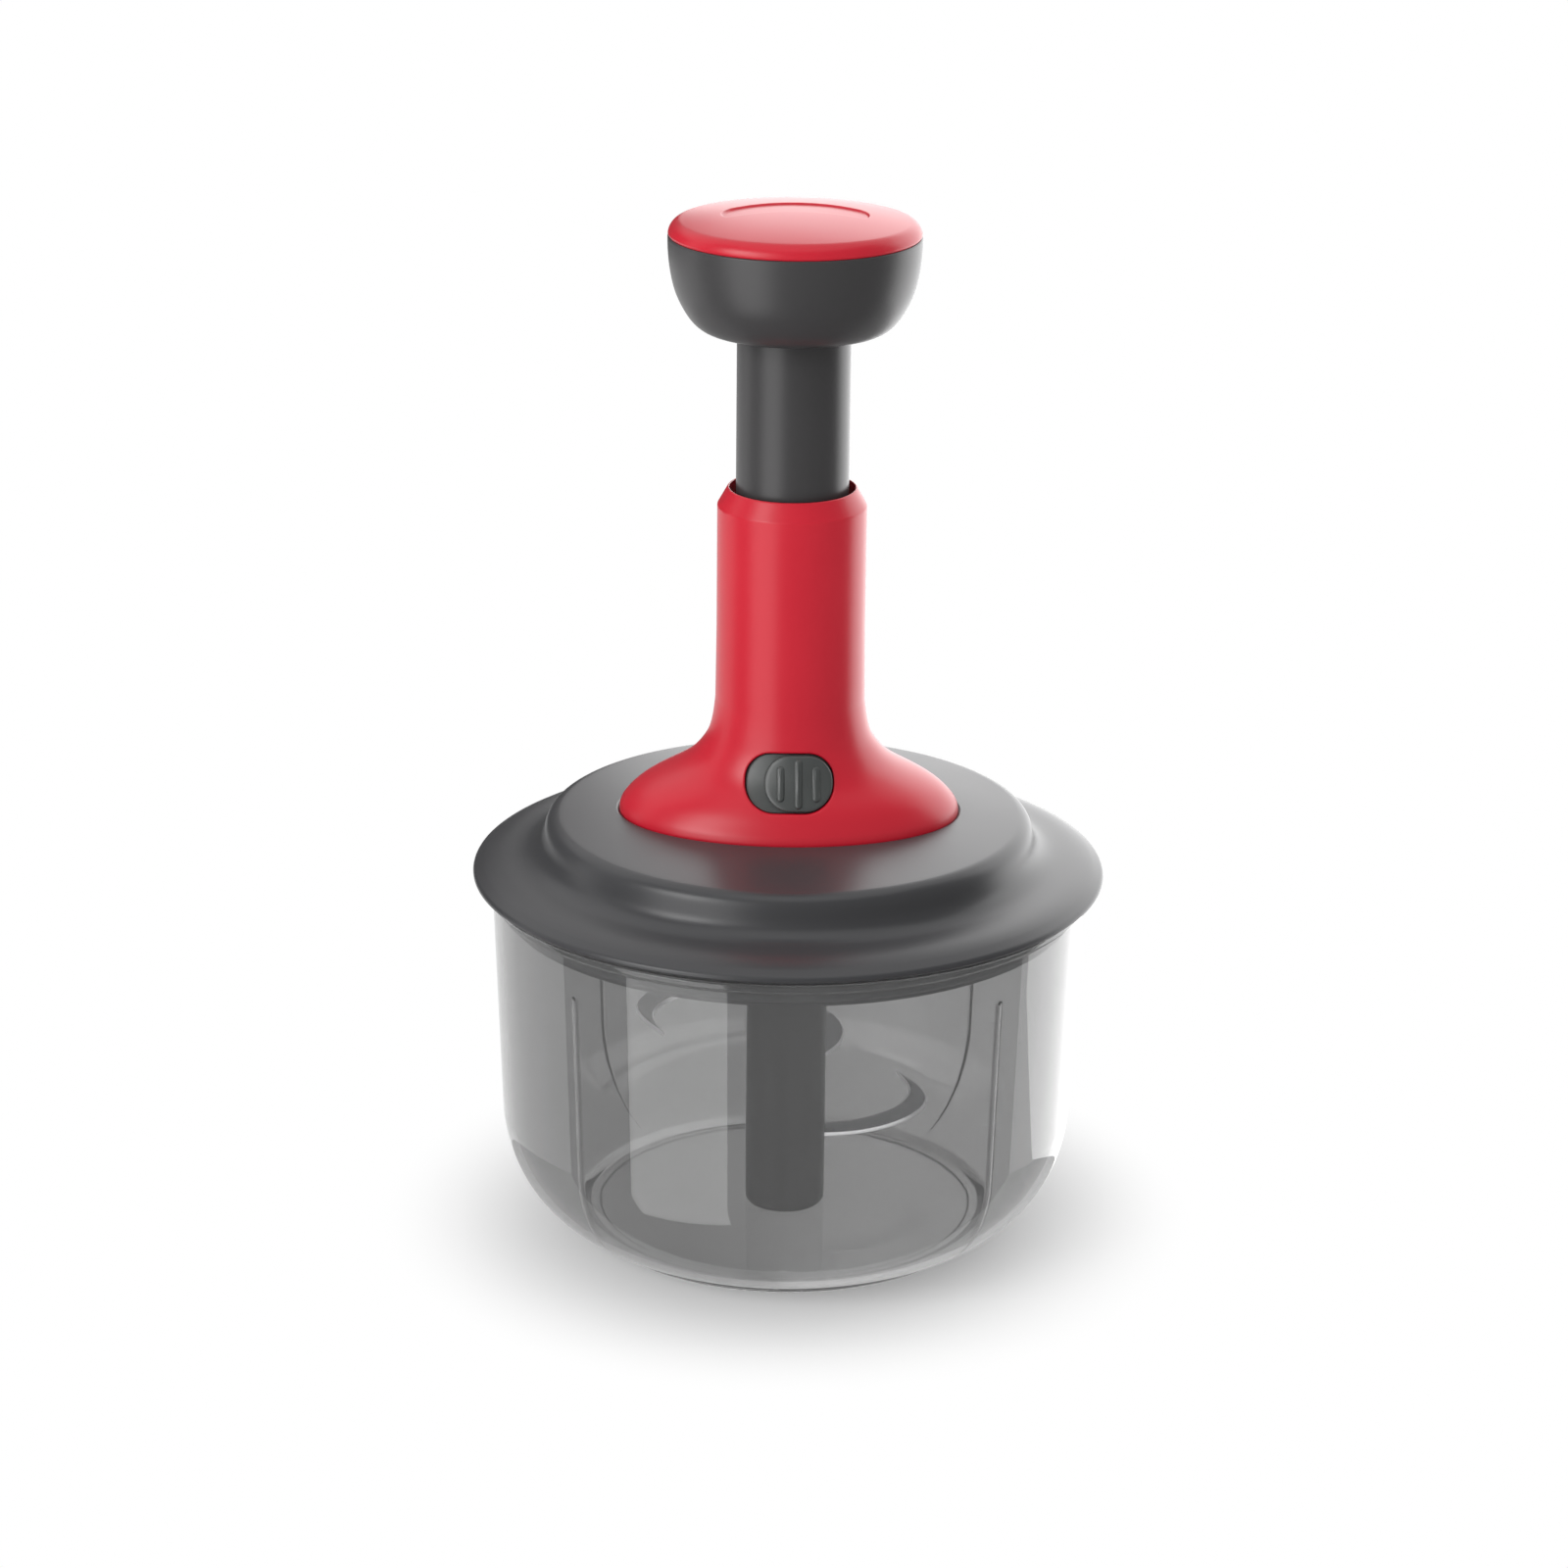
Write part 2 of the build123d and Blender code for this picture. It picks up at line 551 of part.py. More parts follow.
def make_drive_shaft():
    """Journal, thrust collar and twisted flat rod in one piece, with a stub for the driver."""
    collar_bottom = SEAT_Z + BEARING_FLANGE + WASHER_THICK + FIT
    edge = 0.4
    body = turned(
        (0, STUB_BOTTOM), (STUB_R, STUB_BOTTOM), (STUB_R, COUPLER_TOP), (JOURNAL_R, COUPLER_TOP),
        (JOURNAL_R, CLIP_Z[0]), (CLIP_GROOVE_R, CLIP_Z[0]), (CLIP_GROOVE_R, CLIP_Z[1]),
        (JOURNAL_R, CLIP_Z[1]), (JOURNAL_R, collar_bottom), (COLLAR_FLANGE_R, collar_bottom),
        (COLLAR_FLANGE_R, ROD_BOTTOM - edge), (COLLAR_FLANGE_R - edge, ROD_BOTTOM), (0, ROD_BOTTOM),
    )
    body += twisted_bar(ROD_WIDTH, ROD_THICK, ROD_BOTTOM, ROD_TOP)
    return body - ring(0, COUPLER_SCREW_R, STUB_BOTTOM, COUPLER_SCREW_Z[2])


def make_shaft_clip():
    """Open retaining ring in the groove under the bush."""
    gap = CLIP_GROOVE_R / 2
    return ring(CLIP_GROOVE_R, CLIP_R, *CLIP_Z) - block((0, CLIP_R + 1), (-gap, gap), CLIP_Z)


def make_drive_coupler():
    """Hexagonal driver with a tapered tip, hollow for the shaft's stub and the screw's head."""
    point = COUPLER_FLATS / 2
    taper = turned(
        (0, COUPLER_BOTTOM), (point - 0.1, COUPLER_BOTTOM), (point + 0.8, COUPLER_BOTTOM + 1.2),
        (point + 0.8, COUPLER_SHOULDER), (0, COUPLER_SHOULDER),
    )
    body = hexagon(COUPLER_FLATS, COUPLER_BOTTOM, COUPLER_SHOULDER) & taper
    body += ring(0, COUPLER_FLANGE_R, COUPLER_SHOULDER, COUPLER_TOP)
    head_room = ring(0, COUPLER_SCREW_HEAD_R + 0.2, COUPLER_BOTTOM - 1, COUPLER_SCREW_Z[1])
    screw_hole = ring(0, COUPLER_SCREW_R + 0.05, COUPLER_BOTTOM, STUB_BOTTOM)
    return body - ring(0, STUB_R, STUB_BOTTOM, COUPLER_TOP) - screw_hole - head_room


def make_coupler_screw():
    low, seat, high = COUPLER_SCREW_Z
    return ring(0, COUPLER_SCREW_HEAD_R, low, seat) + ring(0, COUPLER_SCREW_R, seat, high)


def make_return_spring():
    low = SEAT_Z + WIRE_R
    high = NUT_BOTTOM - RETAINER_THICK - WIRE_R
    coil = Pos(0, 0, low) * Helix((high - low) / SPRING_TURNS, high - low, SPRING_R)
    section = Plane(coil @ 0, z_dir=coil % 0) * RegularPolygon(WIRE_R, 8)
    return sweep(section, path=coil, is_frenet=True)


# ---------------------------------------------------------------- plunger
def make_plunger_sleeve():
    """Sliding tube with a stop flange and guide lugs at its foot, clutch keyways and a lock slot."""
    tube = turned(
        (SLEEVE_BORE_R, SLEEVE_BOTTOM), (FLANGE_R, SLEEVE_BOTTOM), (FLANGE_R, FLANGE_TOP),
        (SLEEVE_R, FLANGE_TOP), (SLEEVE_R, SLEEVE_TOP), (0, SLEEVE_TOP), (0, PILLAR_BOTTOM),
        (PILLAR_R, PILLAR_BOTTOM), (PILLAR_R, SLEEVE_ROOF), (SLEEVE_BORE_R, SLEEVE_ROOF),
        (SLEEVE_BORE_R, SHELF_TOP), (SHELF_R, SHELF_TOP), (SHELF_R, CLUTCH_TOP),
        (SLEEVE_BORE_R, CLUTCH_TOP),
    )
    lugs = block((-LUG_REACH, LUG_REACH), (-LUG_WIDTH / 2, LUG_WIDTH / 2), (SLEEVE_BOTTOM, FLANGE_TOP))
    tube += lugs - ring(0, SLEEVE_R, SLEEVE_BOTTOM, FLANGE_TOP)
    keyway = block((-KEY_REACH, KEY_REACH), (-KEY_WIDTH / 2, KEY_WIDTH / 2), (SLEEVE_BOTTOM, CLUTCH_TOP))
    side_gap = 0.4
    bayonet_x = (LOCK_TRAVEL + STUB_W) / 2 + side_gap
    front = (-FLANGE_R - 1, -SLEEVE_BORE_R / 2)
    branch_z = (STUB_Z[0] + TRAVEL - CLEAR, STUB_Z[1] + TRAVEL + CLEAR)
    upright = block((bayonet_x - STUB_W - 2 * side_gap, bayonet_x), front, (SLEEVE_BOTTOM - 1, branch_z[1]))
    level = block((-bayonet_x, bayonet_x), front, branch_z)
    return tube - keyway - upright - level - ring(0, KNOB_SCREW_R, PILLAR_BOTTOM - 1, SLEEVE_TOP)


def face_teeth(base_z, rise, lag):
    """Ring of saw teeth about Z, standing up or hanging down from a level."""
    slope = TOOTH_WIDTH if rise > 0 else -TOOTH_WIDTH
    tooth = make_face(Polyline((lag, 0), (lag, rise), (lag + slope, 0), close=True))
    radial = Plane(origin=(TOOTH_R[0], 0, base_z), x_dir=(0, 1, 0), z_dir=(1, 0, 0))
    bar = extrude(radial * tooth, TOOTH_R[1] - TOOTH_R[0])
    teeth = Part()
    for index in range(TOOTH_COUNT):
        teeth += Rot(0, 0, index * 360 / TOOTH_COUNT) * bar
    return teeth


def make_drive_nut():
    body = ring(0, SLEEVE_BORE_R - FIT, NUT_BOTTOM, NUT_TOP)
    body += face_teeth(NUT_TOP, TOOTH_HEIGHT, 0)
    return body - twisted_bar(ROD_WIDTH + 2 * CLEAR, ROD_THICK + 2 * CLEAR, NUT_BOTTOM - 1, NUT_TOP + 2)


def make_clutch_ring():
    bottom = NUT_TOP + TOOTH_HEIGHT
    body = ring(CLUTCH_BORE_R, SLEEVE_BORE_R, bottom, CLUTCH_TOP)
    keys = block((-KEY_REACH, KEY_REACH), (-KEY_WIDTH / 2, KEY_WIDTH / 2), (bottom, CLUTCH_TOP))
    body += keys - ring(0, SLEEVE_BORE_R - 1, bottom, CLUTCH_TOP)
    return body + face_teeth(bottom, -TOOTH_HEIGHT + 0.1, -0.15)


def make_nut_retainer():
    return ring(RETAINER_BORE_R, SLEEVE_BORE_R, NUT_BOTTOM - RETAINER_THICK, NUT_BOTTOM)


def make_knob_body():
    side = Spline(
        (19.6, KNOB_BOTTOM), (23.3, 221.9), (25.4, 224.8), (27.1, 228.3), (28.3, 232.8),
        (KNOB_R, KNOB_TOP - 0.9), tangents=((1, 0.05), (0, 1)),
    )
    form = turned(
        (0, KNOB_BOTTOM), side, (KNOB_R, KNOB_TOP - 0.3), (KNOB_R - 0.3, KNOB_TOP), (0, KNOB_TOP)
    )
    inner_side = Spline(
        (20.0, 222.6), (23.0, 225.4), (25.0, 229.4), (KNOB_WALL_R, 238.0), tangents=((1, 0.2), (0, 1))
    )
    hollow = turned(
        (KNOB_SOCKET_R, 222.4), inner_side, (KNOB_WALL_R, KNOB_TOP), (0, KNOB_TOP), (0, KNOB_WEB_TOP),
        (KNOB_SOCKET_R, KNOB_WEB_TOP),
    )
    tube_socket = ring(0, SLEEVE_R, KNOB_BOTTOM, SLEEVE_TOP)
    return form - hollow - tube_socket - ring(0, KNOB_SCREW_R + 0.1, SLEEVE_TOP, KNOB_WEB_TOP)


def cap_dome(drop):
    """Shallow dome of the cap's top, lowered by a distance."""
    middle = (CAP_ROLL_R / 2, CAP_TOP - drop - (CAP_TOP - CAP_ROLL_Z) * 0.25)
    return ThreePointArc((0, CAP_TOP - drop), middle, (CAP_ROLL_R, CAP_ROLL_Z - drop))


def make_knob_cap():
    roll = Spline((CAP_ROLL_R, CAP_ROLL_Z), (28.2, 243.9), (KNOB_R - 0.05, KNOB_TOP + 0.5),
                  tangents=((1, -0.19), (0.1, -1)))
    spigot_in = CAP_SPIGOT_R - 2
    shell = turned(
        (0, CAP_TOP - CAP_WALL), cap_dome(0), roll, (KNOB_R - 0.35, KNOB_TOP), (CAP_SPIGOT_R, KNOB_TOP),
        (CAP_SPIGOT_R, CAP_SPIGOT_BOTTOM), (spigot_in, CAP_SPIGOT_BOTTOM),
        (spigot_in, CAP_ROLL_Z - CAP_WALL),
    )
    plan = outline_face(
        ThreePointArc((-15.4, -5.4), (0, -2.6), (15.4, -5.4)),
        ThreePointArc((15.4, -5.4), (16.6, -1.0), (14.8, 3.4)),
        ThreePointArc((14.8, 3.4), (0, 8.2), (-14.8, 3.4)),
        ThreePointArc((-14.8, 3.4), (-16.6, -1.0), (-15.4, -5.4)),
    )
    lowered = turned((0, CAP_ROLL_Z - 4), cap_dome(RECESS_DEPTH), (CAP_ROLL_R, CAP_ROLL_Z - 4))
    recess = Pos(0, 0, CAP_ROLL_Z - 3) * extrude(plan, 10) - lowered
    return shell - recess


def make_knob_screw():
    head = ring(0, 3.6, KNOB_WEB_TOP, KNOB_WEB_TOP + 2.4)
    head = chamfer(head.edges().group_by(Axis.Z)[-1], 0.6)
    return head + ring(0, KNOB_SCREW_R, KNOB_SCREW_BOTTOM, KNOB_WEB_TOP)


# ---------------------------------------------------------------- lock
def make_lock_plate():
    """Plate that fills the window's pocket and keeps the tower's curve."""
    plate = through_front(RectangleRounded(WINDOW_W, WINDOW_H, WINDOW_CORNER)) & flare_inset(PLATE_DEPTH)
    return plate - flare_inset(PLATE_DEPTH + LOCK_PLATE_THICK) - lock_slot()


def make_lock_button():
    """Thumb piece with three grip ribs and a tongue that reaches in to the sleeve. Its top is the
    tower's form, centred on the piece, and its underside clears the plate all along the slide."""
    offset = LOCK_TRAVEL / 2
    pad = through_front(RectangleRounded(THUMB_W, THUMB_H, WINDOW_CORNER), offset)
    pad &= Pos(offset, 0, 0) * flare_inset(-THUMB_RISE)
    rib_form = Pos(offset, 0, 0) * flare_inset(-THUMB_RISE - GRIP_RIB_RISE)
    for x, height in GRIP_RIBS:
        pad += through_front(SlotOverall(height, GRIP_RIB_W, rotation=90), offset + x) & rib_form
    running_face = flare_inset(PLATE_DEPTH - FIT)
    between = extrude(section(running_face, section_by=Plane.YZ), LOCK_TRAVEL, dir=(1, 0, 0))
    pad -= running_face + between + Pos(LOCK_TRAVEL, 0, 0) * running_face
    tongue = block((offset - STUB_W / 2, offset + STUB_W / 2), (WALL_REACH[0], STUB_TIP_Y), STUB_Z)
    return pad + (tongue & flare_inset(STUB_ROOT))


def make_lock_catch():
    offset = LOCK_TRAVEL / 2
    clip = block((offset - CATCH_W / 2, offset + CATCH_W / 2), CATCH_Y, CATCH_Z)
    return clip - block((offset - STUB_W / 2, offset + STUB_W / 2), CATCH_Y, STUB_Z)


# ---------------------------------------------------------------- write one STEP per node
blades = {name: make_blade(*place) for name, place in BLADES.items()}
nodes = {
    "bowl": make_bowl(),
    "pivot_pin": make_pivot_pin(),
    "blade_hub": make_blade_hub(blades.values()),
    "hub_bush": make_hub_bush(),
    **blades,
    "lid_cover": make_lid_cover(),
    "lid_inner_plate": make_lid_inner_plate(),
    "lid_seal": make_lid_seal(),
    "lid_screws": make_lid_screws(),
    "handle_housing": make_handle_housing(),
    "guide_bush": make_guide_bush(),
    "housing_screws": make_housing_screws(),
    "bearing_bush": make_bearing_bush(),
    "thrust_washer": make_thrust_washer(),
    "lock_plate": make_lock_plate(),
    "return_spring": make_return_spring(),
    "drive_shaft": make_drive_shaft(),
    "shaft_clip": make_shaft_clip(),
    "drive_coupler": make_drive_coupler(),
    "coupler_screw": make_coupler_screw(),
    "plunger_sleeve": make_plunger_sleeve(),
    "drive_nut": make_drive_nut(),
    "clutch_ring": make_clutch_ring(),
    "nut_retainer": make_nut_retainer(),
    "knob_body": make_knob_body(),
    "knob_cap": make_knob_cap(),
    "knob_screw": make_knob_screw(),
    "lock_button": make_lock_button(),
    "lock_catch": make_lock_catch(),
}
os.makedirs("parts", exist_ok=True)
for name, solid in nodes.items():
    export_step(solid, f"parts/{name}.step")
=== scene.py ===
import math

import bpy
import numpy as np
from bpy.props import FloatProperty, FloatVectorProperty, IntProperty, PointerProperty
from mathutils import Matrix, Vector


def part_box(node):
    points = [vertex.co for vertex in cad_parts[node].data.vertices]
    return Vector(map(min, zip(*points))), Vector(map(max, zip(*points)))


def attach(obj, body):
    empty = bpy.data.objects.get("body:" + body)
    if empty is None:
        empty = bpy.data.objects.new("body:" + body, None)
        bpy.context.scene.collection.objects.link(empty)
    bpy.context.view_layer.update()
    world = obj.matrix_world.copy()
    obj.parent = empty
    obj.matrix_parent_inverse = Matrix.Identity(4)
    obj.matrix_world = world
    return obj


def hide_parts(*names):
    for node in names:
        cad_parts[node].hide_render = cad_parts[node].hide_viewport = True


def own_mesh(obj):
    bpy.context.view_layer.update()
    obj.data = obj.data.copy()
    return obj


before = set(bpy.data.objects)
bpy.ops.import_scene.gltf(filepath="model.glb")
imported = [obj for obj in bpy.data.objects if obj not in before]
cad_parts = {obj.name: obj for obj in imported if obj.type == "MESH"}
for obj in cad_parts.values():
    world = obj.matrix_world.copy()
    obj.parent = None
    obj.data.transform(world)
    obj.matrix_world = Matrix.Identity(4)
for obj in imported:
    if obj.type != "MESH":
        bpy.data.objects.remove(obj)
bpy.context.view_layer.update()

bl_info = {
    "name": "Hand-press Food Chopper",
    "version": (1, 0, 0),
    "blender": (4, 5, 0),
    "location": "3D View > Sidebar > Chopper",
    "description": "Builds the visible pieces, finishes and studio of a hand-press food chopper",
    "category": "Add Mesh",
}

# Pieces are worked out in mm, and add_piece turns them to metres. A section is a row of
# (radius, height), and a third number is the radius of the rounding at that corner.
MM = 0.001
TURN = 2 * math.pi
FRONT = -math.pi / 2     # the slider faces -Y


def srgb(code):
    """Linear colour of an sRGB hex code such as #c71b2a."""
    parts = [int(code[i:i + 2], 16) / 255 for i in (1, 3, 5)]
    return tuple(c / 12.92 if c <= 0.04045 else ((c + 0.055) / 1.055) ** 2.4 for c in parts)


# ---------------------------------------------------------------- properties
def a_length(name, description, default, low, high):
    """Length setting, given in mm."""
    return FloatProperty(name=name, description=description, unit="LENGTH",
                         default=default * MM, min=low * MM, max=high * MM)


def a_colour(name, description, code):
    """Colour setting, given as an sRGB hex code."""
    return FloatVectorProperty(name=name, description=description, subtype="COLOR",
                               default=srgb(code), min=0, max=1)


def a_light(name, description, default, high):
    """Setting of a lamp's or a cloth's radiance, where 1 is white."""
    return FloatProperty(name=name, description=description, default=default, min=0, max=high)


class ChopperSizes(bpy.types.PropertyGroup):
    """Sizes of the visible forms that may be changed without touching what fits or moves."""
    around: IntProperty(name="Columns", description="Columns of faces round a large piece",
                        default=224, min=48, max=512)
    spring_turns: IntProperty(name="Spring turns", description="Turns of the return spring",
                              default=7, min=4, max=12)
    boss_edge: a_length("Boss edge", "Radius of the edges of the bowl's boss", 0.35, 0.05, 0.6)
    rib_depth: a_length("Bowl rib depth", "How far the bowl's inner ribs stand out", 1.1, 0.3, 1.1)
    recess_depth: a_length("Cap recess", "Depth of the bare recess in the palm cap", 0.45, 0, 0.8)
    grip_rise: a_length("Grip rib rise", "Height of the slider's grip ribs", 0.7, 0.2, 0.9)


class ChopperColours(bpy.types.PropertyGroup):
    """Colours of the plastics and metals, as the eye sees them."""
    red: a_colour("Tower and cap", "Red ABS", "#c3142a")
    lid: a_colour("Lid", "Dark grey polypropylene", "#3b3b3d")
    charcoal: a_colour("Knob, tube and post", "Charcoal ABS", "#3d3c3d")
    slider: a_colour("Slider", "Grey acetal", "#454847")
    smoke: a_colour("Bowl tint", "Smoke tint of the clear plastic", "#b7b7b7")
    # Darker than bare steel: the rolled finish with a painted dark reflection on the blades' flats
    steel: a_colour("Blade flats", "Rolled stainless steel", "#9a9b9d")
    # Near white, whiter than bare steel: the ground finish with a painted highlight along the
    # blades' edges
    ground: a_colour("Blade edges", "Ground stainless steel", "#f6f6f7")
    plated: a_colour("Rod, spring and screws", "Zinc-plated steel", "#b9bcc0")
    rubber: a_colour("Seal", "Grey silicone rubber", "#5a5b5d")
    bearing: a_colour("Bushes", "Natural acetal", "#e4e2da")


class ChopperStudio(bpy.types.PropertyGroup):
    """Camera and light."""
    camera_height: FloatProperty(name="Camera angle", description="How far down the camera looks",
                                 subtype="ANGLE", default=math.radians(19.146))
    camera_distance: FloatProperty(name="Camera distance", unit="LENGTH", default=0.99827,
                                   description="From the lens to the aim point")
    key: a_light("Key light", "Large soft box at the left front", 1.9, 20)
    rim: a_light("Rim light", "Wide soft box at the right rear", 1.7, 20)
    top: a_light("Top light", "Small high soft box at the left front", 4.5, 20)
    sky: a_light("Fill", "Even light of the room", 0.78, 2)
    flag: a_light("Dark cloths", "Cloths that the front and the left rear reflect", 0.1, 1)
    below: a_light("Grey cloth", "Cloth that the bowl's lowest edge reflects", 0.55, 1)
    card: a_light("White card", "Card that the blades' edges reflect", 5.0, 20)


# ---------------------------------------------------------------- curves
def rounded(outline, steps=5, closed=False):
    """Outline with rounded corners. A corner (x, y, radius) becomes the arc that touches both of
    its sides, as a rational quadratic curve: it starts radius / tan(half the corner's angle) from
    the corner, and its middle weight is the sine of that half angle. Points (x, y) and arrays of
    points stay as they are."""
    rows = []
    for item in outline:
        rows += item.tolist() if isinstance(item, np.ndarray) else [item]
    points = np.array([row[:2] for row in rows], float)
    share = np.linspace(0, 1, steps + 1)[:, None]
    made = []
    for i, row in enumerate(rows):
        if len(row) == 2 or (not closed and i in (0, len(rows) - 1)):
            made.append(points[i:i + 1])
            continue
        corner, radius = points[i], row[2]
        sides = [points[i - 1] - corner, points[(i + 1) % len(rows)] - corner]
        before, after = [side / np.linalg.norm(side) for side in sides]
        half = math.acos(float(np.clip(before @ after, -1, 1))) / 2
        start, end = [corner + side * radius / math.tan(half) for side in (before, after)]
        weights = np.hstack([
            (1 - share) ** 2, 2 * share * (1 - share) * math.sin(half), share ** 2])
        made.append(weights @ np.array([start, corner, end]) / weights.sum(1, keepdims=True))
    return np.concatenate(made)


def spline(points, count, start=None, end=None):
    """Smooth curve through points: a piecewise cubic over the chord length whose second
    derivative is continuous. At an end it follows the given direction, or has no curvature if
    there is none."""
    points = np.array(points, float)
    step = np.linalg.norm(np.diff(points, axis=0), axis=1)
    rise = np.diff(points, axis=0) / step[:, None]
    system, target = np.eye(len(points)), np.zeros_like(points)
    for i in range(1, len(points) - 1):
        system[i, i - 1:i + 2] = step[i], 2 * (step[i - 1] + step[i]), step[i - 1]
        target[i] = 3 * (step[i] * rise[i - 1] + step[i - 1] * rise[i])
    for row, beside, direction, slope in ((0, 1, start, rise[0]), (-1, -2, end, rise[-1])):
        if direction is None:
            system[row, row], system[row, beside], target[row] = 2, 1, 3 * slope
        else:
            target[row] = np.array(direction, float) / np.linalg.norm(direction)
    slopes = np.linalg.solve(system, target)
    knots = np.concatenate([[0], np.cumsum(step)])
    where = np.linspace(0, knots[-1], count)
    part = np.clip(np.searchsorted(knots, where) - 1, 0, len(step) - 1)
    t = ((where - knots[part]) / step[part])[:, None]
    h = step[part][:, None]
    return ((1 + 2 * t) * (1 - t) ** 2 * points[part] + t * (1 - t) ** 2 * h * slopes[part]
            + t ** 2 * (3 - 2 * t) * points[part + 1] - t ** 2 * (1 - t) * h * slopes[part + 1])


def arc(centre, radii, start, end, count):
    """Part of an ellipse from one angle to another, in degrees."""
    angle = np.radians(np.linspace(start, end, count))
    return np.stack(
        [centre[0] + radii[0] * np.cos(angle), centre[1] + radii[1] * np.sin(angle)], -1)


def three_point_arc(start, middle, end, count):
    """Circular arc through three points."""
    a, b, c = [complex(*p) for p in (start, middle, end)]
    w = (c - a) / (b - a)
    centre = (b - a) * (w - abs(w) ** 2) / (2j * w.imag) + a
    turn = [np.angle((p - centre) / (a - centre)) for p in (b, c)]
    sweep = turn[1] if 0 <= turn[0] / turn[1] <= 1 else turn[1] - math.copysign(TURN, turn[1])
    swept = centre + (a - centre) * np.exp(1j * sweep * np.linspace(0, 1, count))
    return np.stack([swept.real, swept.imag], -1)


def aside(along):
    """Unit normals on the right of an array of plane directions (x, y): (y, -x) over its length."""
    normals = np.stack([along[:, 1], -along[:, 0]], -1)
    return normals / np.linalg.norm(normals, axis=1, keepdims=True)


def grown(outline, margin):
    """Closed outline moved outwards by a margin along its own normals."""
    return outline + margin * aside(np.roll(outline, -1, 0) - np.roll(outline, 1, 0))


def ramp(value, low, high):
    """Smooth step: 0 up to low, 1 from high, and 3t^2 - 2t^3 between them."""
    t = np.clip((value - low) / (high - low), 0, 1)
    return t * t * (3 - 2 * t)


def circle(count):
    """Even angles once round."""
    return np.arange(count) * (TURN / count)


# ---------------------------------------------------------------- surfaces
def rings(angles, z, a, b=None):
    """Points (a cos(angle), b sin(angle), z) about Z. Without a b, b is a, which is a circle."""
    b = a if b is None else b
    return np.stack(np.broadcast_arrays(a * np.cos(angles), b * np.sin(angles), z), -1)


def turn_round(section, angles):
    """Surface of revolution: each (radius, height) of a section at each angle about Z."""
    return rings(angles, section[:, 1, None], section[:, 0, None])


def ball_cap(radius, edge, top, drop):
    """Height at a radius of a shallow dome: the ball through its top and through an edge that
    lies lower by the drop, whose own radius is (edge^2 + drop^2) / (2 drop)."""
    ball = (edge ** 2 + drop ** 2) / (2 * drop)
    return top - ball + np.sqrt(ball ** 2 - radius ** 2)


def strip(index, joined=False):
    """Four-sided faces between the rows of an array of vertex numbers, each row closed on
    itself. Joined, the last row meets the first."""
    if joined:
        index = np.vstack([index, index[:1]])
    across = np.roll(index, -1, axis=1)
    return np.stack([index[:-1], across[:-1], across[1:], index[1:]], -1).reshape(-1, 4)


def shell(grid, loop=False):
    """Closed surface over a grid [row, column, xyz] whose rows close on themselves. The last row
    meets the first in a loop, and otherwise each end row closes on the point at its middle."""
    rows, columns = grid.shape[:2]
    index = np.arange(rows * columns).reshape(rows, columns)
    points = grid.reshape(-1, 3)
    if loop:
        return points, strip(index, joined=True), np.zeros((0, 3), int)
    points = np.vstack([points, grid[0].mean(0), grid[-1].mean(0)])
    first, last = np.full(columns, len(points) - 2), np.full(columns, len(points) - 1)
    triangles = np.vstack([
        np.stack([first, np.roll(index[0], -1), index[0]], -1),
        np.stack([last, index[-1], np.roll(index[-1], -1)], -1),
    ])
    return points, strip(index), triangles


def outward(points, quads, triangles):
    """The same shell with its faces turned outwards, going by the sign of the volume inside."""
    halves = np.vstack([quads[:, [0, 1, 2]], quads[:, [0, 2, 3]], triangles])
    a, b, c = (points[halves[:, i]] for i in range(3))
    if np.einsum("ij,ij->", a, np.cross(b, c)) < 0:
        quads, triangles = quads[:, ::-1], triangles[:, ::-1]
    return points, quads, triangles


def face_weighted_normals(points, faces_by_kind):
    """Vertex normals as the sum of the area vectors of the faces round a vertex, so that a large
    flat face keeps its own direction and the small faces of a rounded edge carry the turn."""
    normals = np.zeros_like(points)
    for faces in faces_by_kind:
        if len(faces):
            corners = points[faces]
            area = np.cross(corners[:, 2] - corners[:, 0], corners[:, -1] - corners[:, 1])
            for corner in range(faces.shape[1]):
                np.add.at(normals, faces[:, corner], area)
    return normals / np.maximum(np.linalg.norm(normals, axis=1, keepdims=True), 1e-12)


def add_object(name, points, faces, material):
    """Mesh object from an array of points in metres and a list of faces."""
    mesh = bpy.data.meshes.new(name)
    mesh.from_pydata(points.tolist(), [], faces)
    mesh.materials.append(material)
    made = bpy.data.objects.new(name, mesh)
    bpy.context.scene.collection.objects.link(made)
    return made


def add_piece(name, shells, body, material, node):
    """Piece in metres from closed shells in mm, riding on a body and standing for a CAD node."""
    points, quads, triangles, base = [], [], [], 0
    for part in shells:
        part_points, part_quads, part_triangles = outward(*part)
        used = np.unique(np.concatenate([part_quads.ravel(), part_triangles.ravel()]))
        renumber = np.zeros(len(part_points), int)
        renumber[used] = np.arange(len(used)) + base
        points.append(part_points[used] * MM)
        quads.append(renumber[part_quads])
        triangles.append(renumber[part_triangles])
        base += len(used)
    points, quads, triangles = (np.vstack(x) for x in (points, quads, triangles))
    piece = add_object(name, points, quads.tolist() + triangles.tolist(), material)
    mesh = piece.data
    mesh.polygons.foreach_set("use_smooth", np.ones(len(mesh.polygons), bool))
    mesh.normals_split_custom_set_from_vertices(face_weighted_normals(points, (quads, triangles)))
    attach(piece, body)
    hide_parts(node)
    return piece


# ---------------------------------------------------------------- materials
FLOW = 28                    # mm from one slow change of a plastic's gloss to the next
DRIFT = (0.93, 1.05)         # darkest and lightest share of a plastic's colour
WAVES = 60                   # mm from wave to wave in the bowl's wall


